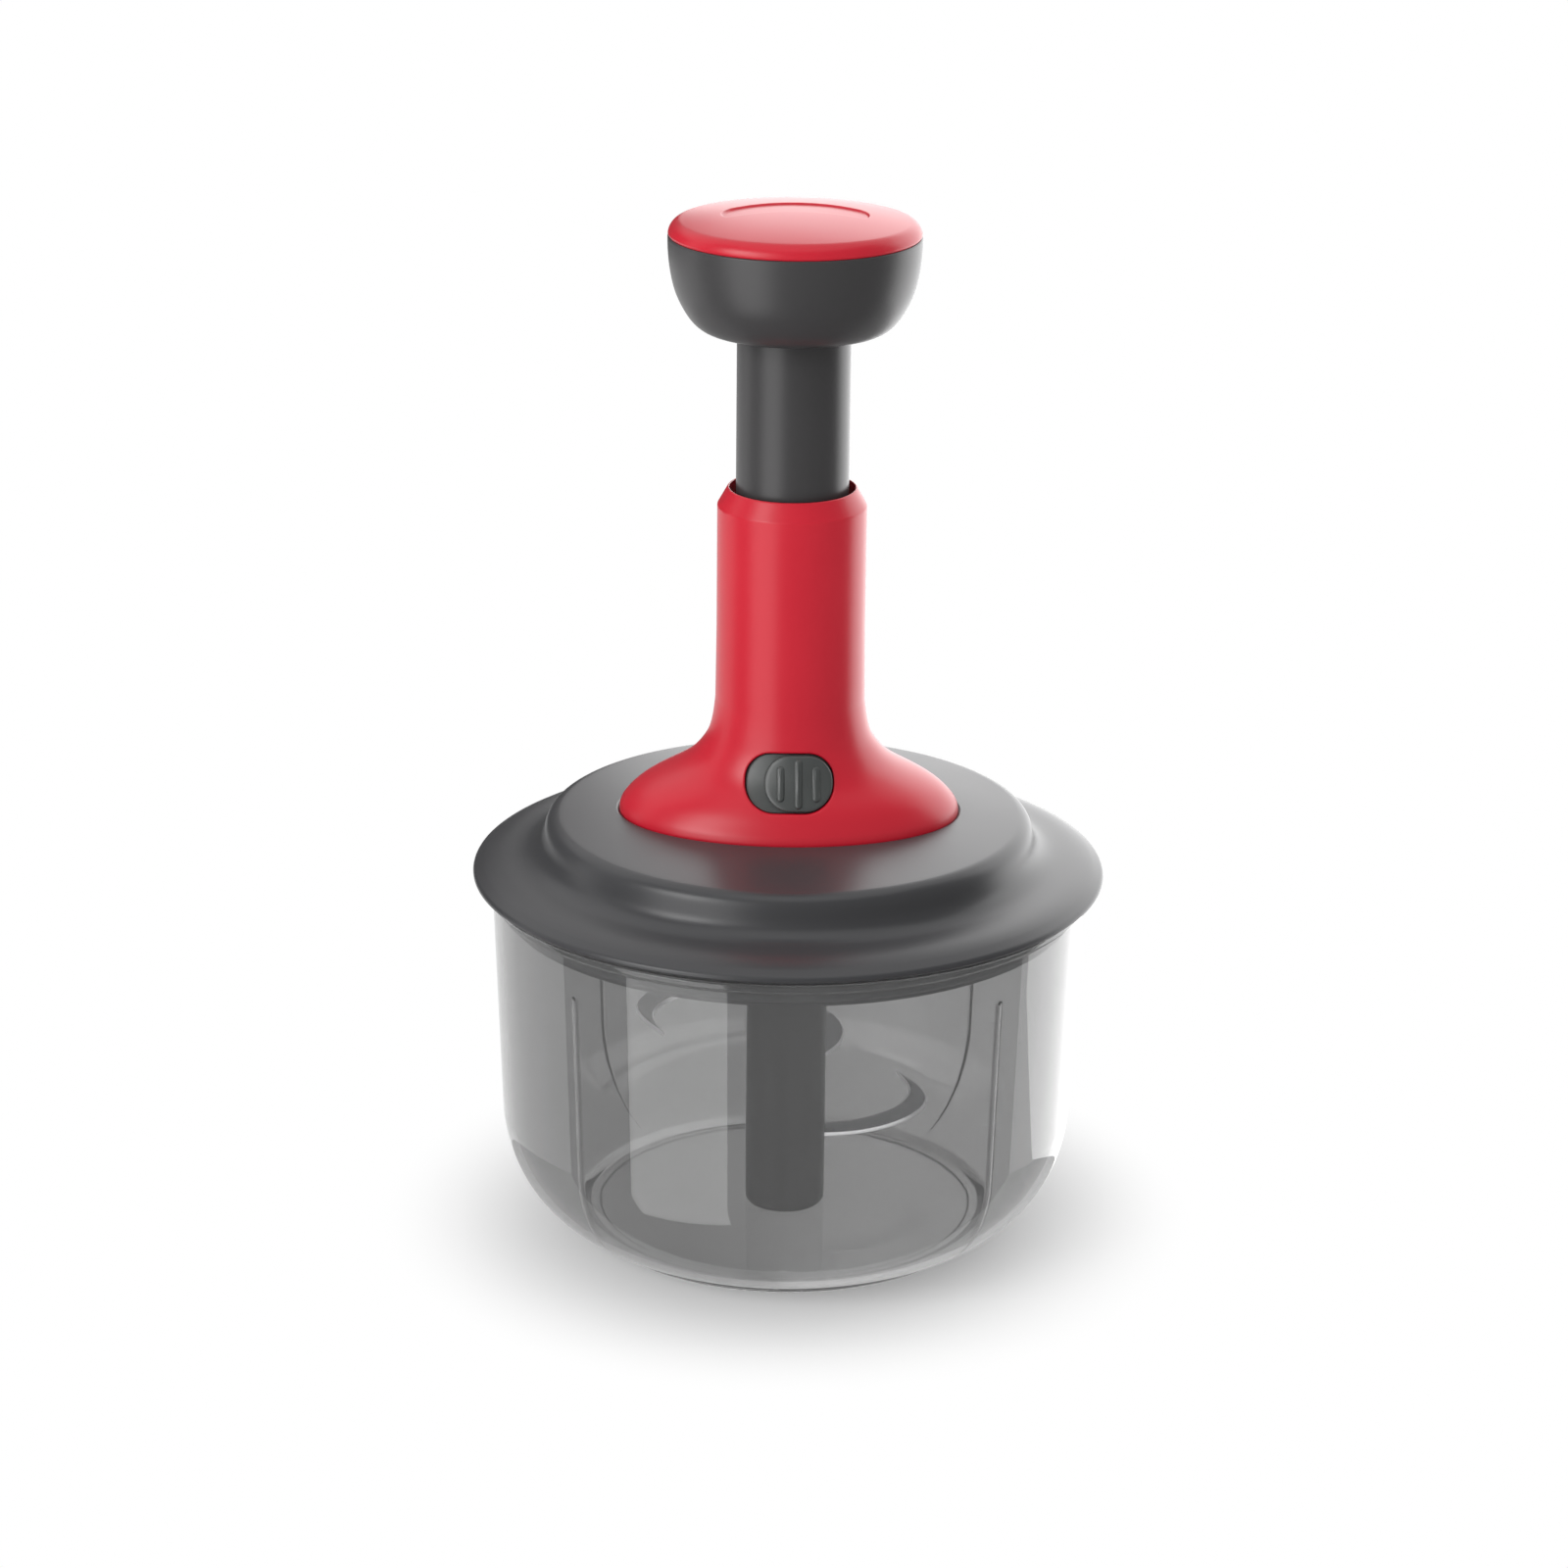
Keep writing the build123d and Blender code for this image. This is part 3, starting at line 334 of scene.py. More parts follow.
def add_node(tree, kind, settings=None, values=None, links=None):
    """One node: settings by attribute, values by input socket, and links by input socket, each
    from an output socket or from a node's first output."""
    node = tree.nodes.new(kind)
    for key, value in (settings or {}).items():
        setattr(node, key, value)
    for key, value in (values or {}).items():
        node.inputs[key].default_value = value
    for key, source in (links or {}).items():
        source = source.outputs[0] if isinstance(source, bpy.types.Node) else source
        tree.links.new(source, node.inputs[key])
    return node


def begin(name):
    """New node material and its empty tree, or None for the tree if the material is there."""
    known = bpy.data.materials.get(name)
    if known:
        return known, None
    material = bpy.data.materials.new(name)
    material.use_nodes = True
    material.node_tree.nodes.clear()
    return material, material.node_tree


def spark_eroded(name, colour, grain, depth, rough, spread):
    """Injection-moulded plastic from a spark-eroded mould. The grain (mm) and its depth (mm)
    break the highlights into a soft satin, slow changes of gloss show where the melt flowed, and
    the colour drifts by a few percent. The real pits are about 0.1 mm across, which is too fine
    to show, so the grain is several times as coarse."""
    material, tree = begin(name)
    if tree is None:
        return material
    where = add_node(tree, "ShaderNodeTexCoord").outputs["Object"]
    fine = add_node(tree, "ShaderNodeTexNoise", None,
                    {"Scale": 1 / (grain * MM), "Detail": 2.0, "Roughness": 0.6}, {"Vector": where})
    flow = add_node(tree, "ShaderNodeTexNoise", None,
                    {"Scale": 1 / (FLOW * MM), "Detail": 2.0}, {"Vector": where})
    gloss = add_node(tree, "ShaderNodeMapRange", None,
                     {"To Min": rough - spread, "To Max": rough + spread}, {"Value": flow})
    darker, lighter = ((*(min(1, c * share) for c in colour), 1) for share in DRIFT)
    # The Mix node's colours are its inputs 6 and 7 and its output 2.
    drift = add_node(tree, "ShaderNodeMix", {"data_type": "RGBA"},
                     {6: darker, 7: lighter}, {0: flow})
    bump = add_node(tree, "ShaderNodeBump", None,
                    {"Strength": 0.6, "Distance": depth * MM}, {"Height": fine})
    surface = add_node(tree, "ShaderNodeBsdfPrincipled", None, {"IOR": 1.5},
                       {"Base Color": drift.outputs[2], "Roughness": gloss, "Normal": bump})
    add_node(tree, "ShaderNodeOutputMaterial", links={"Surface": surface})
    return material


def red_abs(colours):
    """ABS from a fine-ground mould: deep red with a soft pink sheen at the lamps."""
    return spark_eroded("red moulded ABS", colours.red,
                        grain=0.7, depth=0.006, rough=0.33, spread=0.03)


def lid_polypropylene(colours):
    """Polypropylene from an eroded mould: dark grey, more open satin than the knob."""
    return spark_eroded("grey eroded polypropylene", colours.lid,
                        grain=0.8, depth=0.012, rough=0.33, spread=0.03)


def charcoal_abs(colours):
    """ABS of the knob, tube and post: charcoal with a tight satin sheen."""
    return spark_eroded("charcoal satin ABS", colours.charcoal,
                        grain=0.7, depth=0.009, rough=0.36, spread=0.03)


def slider_acetal(colours):
    """Acetal of the thumb slider: greasy-smooth greenish grey."""
    return spark_eroded("grey moulded acetal", colours.slider,
                        grain=0.6, depth=0.006, rough=0.34, spread=0.03)


def bearing_acetal(colours):
    """Turned natural acetal of the bushes and the nut: waxy off-white."""
    return spark_eroded("natural turned acetal", colours.bearing,
                        grain=0.6, depth=0.004, rough=0.4, spread=0.04)


def seal_silicone(colours):
    """Compression-moulded silicone rubber: matt, and a little brighter at a low angle."""
    return spark_eroded("matt silicone rubber", colours.rubber,
                        grain=0.6, depth=0.01, rough=0.55, spread=0.05)


def clear_san(colours):
    """Clear SAN from a polished mould, tinted smoke grey: sharp reflections, edges that draw as
    dark lines and a wall that is faintly wavy where the melt met. Shadow and diffuse rays pass it
    unbent, and each face of the wall gives them the square root of the tint."""
    material, tree = begin("smoke clear SAN")
    if tree is None:
        return material
    where = add_node(tree, "ShaderNodeTexCoord").outputs["Object"]
    waves = add_node(tree, "ShaderNodeTexNoise", None,
                     {"Scale": 1 / (WAVES * MM), "Detail": 0.0}, {"Vector": where})
    bump = add_node(tree, "ShaderNodeBump", None,
                    {"Strength": 0.2, "Distance": 0.1 * MM}, {"Height": waves})
    rubbed = add_node(tree, "ShaderNodeMapRange", None,
                      {"To Min": 0.0, "To Max": 0.03}, {"Value": waves})
    glass = add_node(tree, "ShaderNodeBsdfPrincipled", None,
                     {"Base Color": (*colours.smoke, 1), "IOR": 1.5, "Transmission Weight": 0.92},
                     {"Normal": bump, "Roughness": rubbed})
    face_tint = (*(c ** 0.5 for c in colours.smoke), 1)
    passing = add_node(tree, "ShaderNodeBsdfTransparent", None, {"Color": face_tint})
    path = add_node(tree, "ShaderNodeLightPath").outputs
    soft = add_node(tree, "ShaderNodeMath", {"operation": "MAXIMUM"},
                    links={0: path["Is Shadow Ray"], 1: path["Is Diffuse Ray"]})
    mixed = add_node(tree, "ShaderNodeMixShader", links={0: soft, 1: glass, 2: passing})
    add_node(tree, "ShaderNodeOutputMaterial", links={"Surface": mixed})
    return material


def metal(name, colour, rough, line, stretch, depth):
    """Bare metal with fine marks. Noise at a line spacing (mm) is drawn out along an axis by the
    stretch, and it turns both the gloss and the surface a little. Real marks are some 0.02 mm
    apart, which is too fine to show, so they are drawn many times as wide."""
    material, tree = begin(name)
    if tree is None:
        return material
    where = add_node(tree, "ShaderNodeTexCoord").outputs["Object"]
    laid = add_node(tree, "ShaderNodeMapping", {"vector_type": "POINT"}, {"Scale": stretch},
                    {"Vector": where})
    lines = add_node(tree, "ShaderNodeTexNoise", None,
                     {"Scale": 1 / (line * MM), "Detail": 3.0}, {"Vector": laid})
    gloss = add_node(tree, "ShaderNodeMapRange", None,
                     {"To Min": rough * 0.7, "To Max": rough * 1.4}, {"Value": lines})
    bump = add_node(tree, "ShaderNodeBump", None,
                    {"Strength": 0.5, "Distance": depth * MM}, {"Height": lines})
    surface = add_node(tree, "ShaderNodeBsdfPrincipled", None,
                       {"Base Color": (*colour, 1), "Metallic": 1.0},
                       {"Roughness": gloss, "Normal": bump})
    add_node(tree, "ShaderNodeOutputMaterial", links={"Surface": surface})
    return material


def blade_steel_painted_dark(colours):
    """Rolled stainless strip: bright, with straight rolling marks. Its colour is set darker than
    bare steel, which paints a dark reflection on the blades' flats.
    """
    return metal("rolled stainless steel with painted dark reflection", colours.steel,
                 rough=0.2, line=0.5, stretch=(1, 0.06, 1), depth=0.004)


def ground_steel_painted_highlight(colours):
    """Edge of the strip off a fine grinding wheel: a white satin line against the dark flat. Its
    near-white colour, whiter than bare steel, paints the highlight along that line.
    """
    return metal("ground stainless edge with painted highlight", colours.ground,
                 rough=0.3, line=0.3, stretch=(1, 1, 0.2), depth=0.002)


def plated_steel(colours):
    """Zinc-plated steel of the rod, spring and screws: a cooler, cloudier shine."""
    return metal("zinc-plated steel", colours.plated,
                 rough=0.3, line=1.4, stretch=(1, 1, 1), depth=0.004)


# ---------------------------------------------------------------- bowl
WALL = 2.0                   # thickness of the bowl's wall
WALL_R, WALL_TOP_R = 68.6, 70.5      # its outside radius above the corner and under the bead
CORNER_CENTRE = (42.6, 30.8)
CORNER_OUT, CORNER_IN = (26.0, 30.0), (24.0, 28.2)      # half widths of the corner's ellipses
BEAD_R, BEAD_LOW, RIM_TOP = 72, 84.9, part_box("bowl")[1].z / MM
UNDERSIDE, BOWL_FLOOR = 0.8, 2.6
FOOT_RING = (45.6, 48.3)     # inside and outside radius
BOSS_R, BOSS_TOP, PIN_HOLE_R = 5.6, 7.4, 2.5
RIB_ANGLES = np.radians([45, 135, 225, 315])
RIB_TOP, RIB_EASE = 74.7, 1.4        # the ribs reach their full depth this far under their top
RIB_SINK = 0.3               # how far a rib's end goes under the floor
RIB_CROWN, RIB_SIDE = 0.38, 0.68     # half widths of a rib at its crown and at the wall


def wall_radius(z):
    """Outside radius of the bowl's wall, which widens evenly up to the bead."""
    climb = (z - CORNER_CENTRE[1]) / (BEAD_LOW - CORNER_CENTRE[1])
    return WALL_R + (WALL_TOP_R - WALL_R) * climb


def bowl_section(boss_edge, rib_depth):
    """Section of the bowl from the middle of its underside, up the outside, over the bead and
    down the inside to the boss. With it comes how far a rib stands out of each point: the full
    depth on the wall under its lead-in, and round the corner the depth by the cosine of the
    angle, less what the rib sinks under the floor by its sine."""
    foot_in, foot_out = FOOT_RING
    corner = arc(CORNER_CENTRE, CORNER_OUT, -90, 0, 40)
    outside = rounded([
        (0.6, UNDERSIDE), (foot_in, UNDERSIDE, 0.3), (foot_in, 0, 0.5), (foot_out, 0, 0.7),
        corner[corner[:, 0] > foot_out + 0.6], (wall_radius(60), 60),
        (wall_radius(BEAD_LOW), BEAD_LOW, 0.8), (BEAD_R, BEAD_LOW, 0.8), (BEAD_R, RIM_TOP, 0.8),
        (wall_radius(RIM_TOP) - WALL, RIM_TOP, 0.6), (wall_radius(80) - WALL, 80),
    ])
    heights = np.concatenate([
        [78, 75.2, 74.9], np.linspace(RIB_TOP, RIB_TOP - RIB_EASE, 8), [73, 72, 66, 56, 44, 34]])
    wall = np.stack([wall_radius(heights) - WALL, heights], -1)
    inner_corner = arc(CORNER_CENTRE, CORNER_IN, 0, -90, 44)
    floor = rounded([
        (36, BOWL_FLOOR), (20, BOWL_FLOOR), (BOSS_R, BOWL_FLOOR, 0.8),
        (BOSS_R, BOSS_TOP, boss_edge), (PIN_HOLE_R, BOSS_TOP, boss_edge), (PIN_HOLE_R, 1.8),
        (0.4, 1.8),
    ])
    angle = np.linspace(0, math.pi / 2, len(inner_corner))
    depth = np.concatenate([
        np.zeros(len(outside)),
        rib_depth * ramp(RIB_TOP - heights, 0, RIB_EASE),
        np.maximum(rib_depth * np.cos(angle) - RIB_SINK * np.sin(angle), 0),
        np.zeros(len(floor)),
    ])
    return np.concatenate([outside, wall, inner_corner, floor]), depth


def rib_gap(angles):
    """How far each angle is from the nearest rib."""
    return np.abs((angles[:, None] - RIB_ANGLES + math.pi) % TURN - math.pi).min(1)


def rib_columns(count):
    """Angles once round, with close columns across each rib, and how much of the rib's depth
    each angle has: all of it on the rib's crown, falling smoothly to none down its two sides."""
    inner_r = WALL_R - WALL
    offsets = np.array([0, 0.2, 0.36, 0.42, 0.48, 0.54, 0.6, 0.66, 0.74, 0.95]) / inner_r
    near = (RIB_ANGLES[:, None] + np.concatenate([-offsets[:0:-1], offsets])).ravel()
    even = circle(count)
    angles = np.sort(np.concatenate([near, even[rib_gap(even) > offsets[-1] * 1.4]]))
    return angles, 1 - ramp(rib_gap(angles) * inner_r, RIB_CROWN, RIB_SIDE)


def make_bowl(sizes):
    """Bowl: its section turned round, with each point moved along the section's normal by the
    rib's depth at that point times its share at that angle."""
    section, depth = bowl_section(sizes.boss_edge / MM, sizes.rib_depth / MM)
    angles, share = rib_columns(sizes.around)
    lift = (depth[:, None] * share)[..., None]
    moved = section[:, None] + lift * aside(np.gradient(section, axis=0))[:, None]
    return [shell(rings(angles, moved[..., 1], moved[..., 0]))]


# ---------------------------------------------------------------- blade post
POST_COLUMNS = 132           # a multiple of six puts a column on each corner of the socket
POST_R, NECK_R = 9.6, 7.2
POST_LOW, POST_TOP = 3, 87
SOCKET = 4.3                 # from its axis to a flat
SOCKET_SIDE = math.radians(60)


def make_post():
    """Post as one turned surface from its pin hole, under the foot, up the outside and down into
    the six-sided socket, whose radius at an angle is the distance of a flat over the cosine of
    the angle from that flat's middle."""
    shoulder = spline([(POST_R, 66), (8.4, 69.5), (NECK_R, 73)], 16, (0, 1), (0, 1))
    outside = rounded([
        (0.4, 24.3), (2.58, 24.3), (2.58, 22.4), (4.2, 22.4), (4.2, 8.2), (6.4, 8.2, 0.3),
        (6.4, POST_LOW, 0.4), (POST_R, POST_LOW, 1.2), (POST_R, 30), shoulder, (NECK_R, 80),
        (NECK_R, POST_TOP, 0.8), (5.4, POST_TOP),
    ])
    angles = circle(POST_COLUMNS)
    flats = SOCKET / np.cos(angles % SOCKET_SIDE - SOCKET_SIDE / 2)
    lead_in = ((1.08, POST_TOP), (1.03, 86.9), (1.0, 86.5), (1.0, 72.5))
    socket = [rings(angles, z, flats * widened) for widened, z in lead_in]
    return [shell(np.concatenate([turn_round(outside, angles), socket]))]


# ---------------------------------------------------------------- blades
BLADE_PLACES = {             # level at the post and at the hook, and bearing
    "lower_blade": (19.4, 19.8, 0),
    "middle_blade": (36.0, 36.0, 45),
    "upper_blade": (60.6, 62.2, 180),
}
BLADE_EDGE = [
    (2.5, 0.4), (9.0, 0.4), (16.5, 1.4), (23.7, 4.4), (31.0, 11.0), (35.3, 22.0), (28.3, 39.0)]
BLADE_BACK = [
    (2.5, 7.2), (8.2, 7.2), (13.6, 7.8), (19.0, 9.9), (25.6, 14.9), (31.0, 26.5), (28.25, 38.9)]
BLADE_STATIONS = 90
BLADE_THICK = 0.9
HOOK_X = 35.3                # how far out the hook reaches
SLOPE = 0.26                 # width of a ground slope
BREAK = (0.1, 0.06)          # width and height of the broken corners
BLADE_SECTION = 8            # points round a blade's section
GROUND_HIGHLIT_SIDES = (1, 2, 4, 5)  # its sides with the ground finish, painted near white as a highlight


def make_blade(post_level, hook_level, bearing):
    """Sickle blade: at each station from root to tip a flat section between the cutting edge and
    the back. Both sides are ground to a steep slope, which leaves the underside wider than the
    top. The level goes evenly from the post to the hook."""
    edge, back = (spline(line, BLADE_STATIONS) for line in (BLADE_EDGE, BLADE_BACK))
    across = back - edge
    width = np.linalg.norm(across, axis=1, keepdims=True)
    across = across / np.maximum(width, 1e-6)
    ground = np.minimum(SLOPE, width * 0.3)
    ease = np.minimum(BREAK[0], width * 0.1)
    low, high, top = BREAK[1], BLADE_THICK - BREAK[1], BLADE_THICK
    rows = []
    for reach, z in (
        (ease, 0), (0 * ease, low), (ground, high), (ground + ease, top),
        (width - ground - ease, top), (width - ground, high), (width, low), (width - ease, 0),
    ):
        flat = edge + across * reach
        level = np.interp(flat[:, :1], (POST_R, HOOK_X), (post_level, hook_level))
        rows.append(np.hstack([flat, level - BLADE_THICK / 2 + z]))
    turn = math.radians(bearing)
    spin = np.array([
        [math.cos(turn), math.sin(turn), 0], [-math.sin(turn), math.cos(turn), 0], [0, 0, 1]])
    return [shell(np.stack(rows, 1) @ spin)]


def grind(blade, material):
    """Second finish on a blade's two slopes and the broken corners above them: ground steel whose
    near-white colour paints the highlight along the edge. Its four-sided faces run round the
    section, station by station."""
    mesh = blade.data
    mesh.materials.append(material)
    corners = np.empty(len(mesh.polygons), np.int32)
    mesh.polygons.foreach_get("loop_total", corners)
    place = np.arange(len(corners)) % BLADE_SECTION
    bright = (corners == 4) & np.isin(place, GROUND_HIGHLIT_SIDES)
    mesh.polygons.foreach_set("material_index", bright.astype(np.int32))


# ---------------------------------------------------------------- lid
PLATEAU_R, PLATEAU_Z, CROWN_Z = 54.4, 102.8, 105.2
SEAT_Z, SEAT_GAP = 103.4, 0.25       # the oval seat, and the gap round the foot on it
FOOT = (40.2, 28.2)          # half widths of the tower's oval foot
BEVEL_LOW = SEAT_Z + 0.3
BORE_R, BORE_TOP_R = 7.5, 7.8        # the bearing's bore and its chamfer
SHOULDER = (63.6, 93.2)      # where the step meets the skirt
CEILING = 101                # the lid's underside inside
PLUG_R, PLUG_LOW, PLUG_IN, PLUG_TOP = 66.6, 80.2, 64.4, 87.3
GROOVE_R, GROOVE_LOW, GROOVE_TOP = 65.8, 81.5, 85.5     # the seal's groove in the plug
SCREW_ANGLES, SCREW_CIRCLE = np.radians([90, 210, 330]), 38
SEAL_WAIST, SEAL_LIP = 67.1, 67.9    # its outside radii


def crown(radius):
    """Height of the lid's slightly domed plateau."""
    return ball_cap(radius, PLATEAU_R, CROWN_Z, CROWN_Z - PLATEAU_Z)


def oval(angles, grow):
    """Radius at an angle of the foot's ellipse, grown by a margin."""
    a, b = FOOT[0] + grow, FOOT[1] + grow
    return a * b / np.sqrt((b * np.cos(angles)) ** 2 + (a * np.sin(angles)) ** 2)


def lid_seat(angles):
    """Rows from the bearing's bore over the sunk oval seat and up its 45 degree bevel to the
    plateau. The bevel ends where its height equals the crown's, which is found by repeating that
    equation until it settles."""
    grow = np.full_like(angles, SEAT_GAP + 0.8)
    for _ in range(8):
        grow = SEAT_GAP + crown(oval(angles, grow)) - BEVEL_LOW
    rows = [(BORE_R, 91.6), (BORE_R, 103.1), (BORE_TOP_R, SEAT_Z)]
    seat = oval(angles, SEAT_GAP - 0.1) - BORE_TOP_R
    rows += [(BORE_TOP_R + seat * share, SEAT_Z) for share in (0.4, 0.8, 1.0)]
    rows += [(oval(angles, SEAT_GAP), z) for z in (SEAT_Z + 0.08, BEVEL_LOW)]
    rows += [(oval(angles, grow - back), BEVEL_LOW + grow - back - SEAT_GAP)
             for back in (0.5, 0.22)]
    for out, drop in ((-0.06, 0.12), (0.07, 0.05), (0.22, 0.0)):
        level = oval(angles, grow + out)
        rows.append((level, crown(level) - drop))
    start = oval(angles, grow + 0.45)
    for share in np.linspace(0, 1, 18):
        level = start + (PLATEAU_R - start) * share
        rows.append((level, crown(level)))
    return np.stack([rings(angles, z, radius) for radius, z in rows])


def make_lid(sizes):
    """Lid: the seat's rows, then one turned section over the step, skirt and lip, down the plug
    and back underneath, closed in a loop at the bearing's bore. Three screw posts stand under
    it."""
    angles = circle(sizes.around)
    step = spline(
        [(PLATEAU_R, PLATEAU_Z), (56.7, 101.8), (57.9, 99.6), (58.6, 96.9), (60.3, 94.6), SHOULDER],
        34, (1, -0.09), (1, -0.2))
    skirt = spline([SHOULDER, (69.2, 92.3), (73.9, 90.6)], 18, (1, -0.2), (1, -0.6))
    under = spline([(PLUG_IN, 89.2), (60.2, 91.2), (57.0, 94.6), (55.9, 98.2), (52.6, CEILING)],
                   26, (-0.3, 1), (-1, 0.1))
    lip = np.array([
        (74.35, 90.33), (74.68, 90.05), (74.9, 89.7), (75.0, 89.35), (74.97, 89.0), (74.6, 88.7)])
    section = rounded([
        step[1:], skirt[1:-2], lip, (72.6, 88.4), (71.4, PLUG_TOP, 0.5), (PLUG_R, PLUG_TOP, 0.3),
        (PLUG_R, GROOVE_TOP, 0.2), (GROOVE_R, GROOVE_TOP), (GROOVE_R, GROOVE_LOW),
        (PLUG_R, GROOVE_LOW, 0.2), (PLUG_R, PLUG_LOW, 0.4), (PLUG_IN, PLUG_LOW, 0.3), under,
        (30, CEILING), (11, CEILING, 0.6), (11, 91.3, 0.4), (BORE_R, 91.3),
    ])
    shells = [shell(np.concatenate([lid_seat(angles), turn_round(section, angles)]), loop=True)]
    post = turn_round(rounded([(3.6, 101.5), (3.6, 82.2, 0.3), (1.5, 82.2), (1.5, 92)]), circle(32))
    shells += [shell(post + rings(angle, 0, SCREW_CIRCLE)) for angle in SCREW_ANGLES]
    return shells


def make_seal(sizes):
    """Silicone ring: a waist with a wiping lip above and below."""
    section = rounded([
        (GROOVE_R, GROOVE_LOW, 0.15), (SEAL_WAIST, GROOVE_LOW, 0.2), (SEAL_LIP, 81.95, 0.25),
        (SEAL_LIP, 82.4, 0.25), (SEAL_WAIST, 83.3, 0.5), (SEAL_WAIST, 83.7, 0.5),
        (SEAL_LIP, 84.6, 0.25), (SEAL_LIP, 85.05, 0.25), (SEAL_WAIST, GROOVE_TOP, 0.2),
        (GROOVE_R, GROOVE_TOP, 0.15),
    ], steps=3, closed=True)
    return [shell(turn_round(section, circle(sizes.around)), loop=True)]


# ---------------------------------------------------------------- tower
FLARE_LEVELS = [             # height and half widths of the oval flare
    (103.4, 40.2, 28.2), (105.0, 40.1, 28.05), (107.2, 38.9, 27.0), (109.2, 37.0, 25.9),
    (111.0, 34.6, 24.8), (112.6, 31.8, 23.7), (114.2, 28.6, 22.6), (116.0, 25.4, 21.5),
    (118.0, 22.9, 20.5), (120.5, 20.8, 19.5), (123.0, 19.3, 18.7), (126.0, 18.4, 18.1),
    (129.0, 17.9, 17.75), (132.0, 17.6, 17.6),
]
FLARE = spline(FLARE_LEVELS, 500)
FLARE_TOP, FLARE_TOP_R = FLARE_LEVELS[-1][:2]
TUBE_R, TUBE_EVEN = 17.4, 17.5       # the tube is even from this far above the flare
TUBE_BORE, TUBE_WALL = 15.3, 1.8
COLLAR_R, TOWER_TOP = 14.6, 182.9    # the opening in the collar
POCKET_WALL = 1.1            # how much thicker the wall is behind the slider
WINDOW_ANGLE = math.radians(44)
WINDOW_Z = (107.0, 127.6)
WINDOW_EDGE = 0.55           # radius of the rounding round the window
WINDOW_ASPECT = 1.25         # evens out the columns of the window's wide patch
PATCH_COLUMNS, BACK_COLUMNS = 52, 108
LEAN = math.radians(16)      # of the slider's plane
LOCK_CENTRE = np.array([0, -20.6, 117.0])
LOCK_RIGHT = np.array([1.0, 0, 0])
LOCK_UP = np.array([0, math.sin(LEAN), math.cos(LEAN)])
LOCK_OUT = np.array([0, -math.cos(LEAN), math.sin(LEAN)])
WINDOW = (10.3, 6.95, 6.0, 6.9)      # half width, half height, upper and lower corner radius
THUMB = (7.95, 6.45, 5.9, 6.3)       # the same for the thumb piece
THUMB_SHIFT = 2.1            # half of the slide, and the thumb piece's place at rest
PLATE_SINK, POCKET_SINK = 1.2, 2.3   # depth of the plate and of the pocket's floor


def flare(z):
    """Half widths of the tower at a height: a smooth curve through its levels, and above them a
    tube that narrows a little before it is even."""
    tube = FLARE_TOP_R - (FLARE_TOP_R - TUBE_R) * np.clip((z - FLARE_TOP) / TUBE_EVEN, 0, 1)
    return [np.where(z < FLARE_TOP, np.interp(z, FLARE[:, 0], FLARE[:, i]), tube) for i in (1, 2)]


def lock_point(u, v, w):
    """Point at (u, v) on the slider's plane and w in front of it."""
    u, v, w = (part[..., None] for part in np.broadcast_arrays(u, v, w))
    return LOCK_CENTRE + u * LOCK_RIGHT + v * LOCK_UP + w * LOCK_OUT


def on_tower(u, v):
    """How far the tower's surface stands in front of the slider's plane at (u, v) on that plane.
    The surface is where (x / a)^2 + (y / b)^2 = 1 with the half widths a and b of that height,
    found by halving an interval."""
    low, high = np.full_like(u, -9.0), np.full_like(u, 9.0)
    for _ in range(40):
        middle = (low + high) / 2
        point = lock_point(u, v, middle)
        a, b = flare(point[..., 2])
        outside = (point[..., 0] / a) ** 2 + (point[..., 1] / b) ** 2 > 1
        low, high = np.where(outside, low, middle), np.where(outside, middle, high)
    return low


def slot_outline(half_width, half_height, top_radius, low_radius, count=160):
    """Outline of the window, the thumb piece or a grip rib: a box with rounded corners, evenly
    divided."""
    w, h = half_width, half_height
    corners = [(w, -h, low_radius), (w, h, top_radius), (-w, h, top_radius), (-w, -h, low_radius)]
    ring = rounded(corners, steps=24, closed=True)
    ring = np.vstack([ring, ring[:1]])
    walked = np.concatenate([[0], np.cumsum(np.linalg.norm(np.diff(ring, axis=0), axis=1))])
    even = np.arange(count) * walked[-1] / count
    return np.stack([np.interp(even, walked, ring[:, i]) for i in (0, 1)], -1)


def tower_columns():
    """Angles once round the tower, closer across the window's patch, which comes first."""
    across = FRONT + np.linspace(-WINDOW_ANGLE, WINDOW_ANGLE, PATCH_COLUMNS + 1)
    back = np.linspace(across[-1], across[0] + TURN, BACK_COLUMNS + 1)[1:-1]
    return np.concatenate([across, back])


def tower_rows():
    """Heights up the outside with the first and last row of the window's patch."""
    low = np.array([SEAT_Z, 103.55, 103.9, 104.4, 105.0, 105.6, 106.2])
    patch = np.linspace(*WINDOW_Z, 27)
    high = np.concatenate([np.linspace(128.4, FLARE_TOP, 5), [136, 142, 149.5, 160, 170]])
    return np.concatenate([low, patch, high]), len(low), len(low) + len(patch) - 1


def tower_inside(angles):
    """Rows down the inside of the flare. In front, behind the slider, the wall is thicker by a
    share exp(-(angle / 0.55)^4) of the pocket's wall."""
    z = np.array([
        131, 128, 125, 122, 119.5, 117, 115, 113, 111.2, 109.5, 107.8, 106, 104.4, SEAT_Z])
    a, b = (half[:, None] for half in flare(z + 1.4))
    behind = POCKET_WALL * ramp(z, 106, 109) * (1 - ramp(z, 122, 126))
    front = np.exp(-(np.angle(np.exp(1j * (angles - FRONT))) / 0.55) ** 4)
    return rings(angles, z[:, None], np.maximum(a - TUBE_WALL, TUBE_BORE),
                 np.maximum(b - (TUBE_WALL + behind[:, None] * front), 14.9))


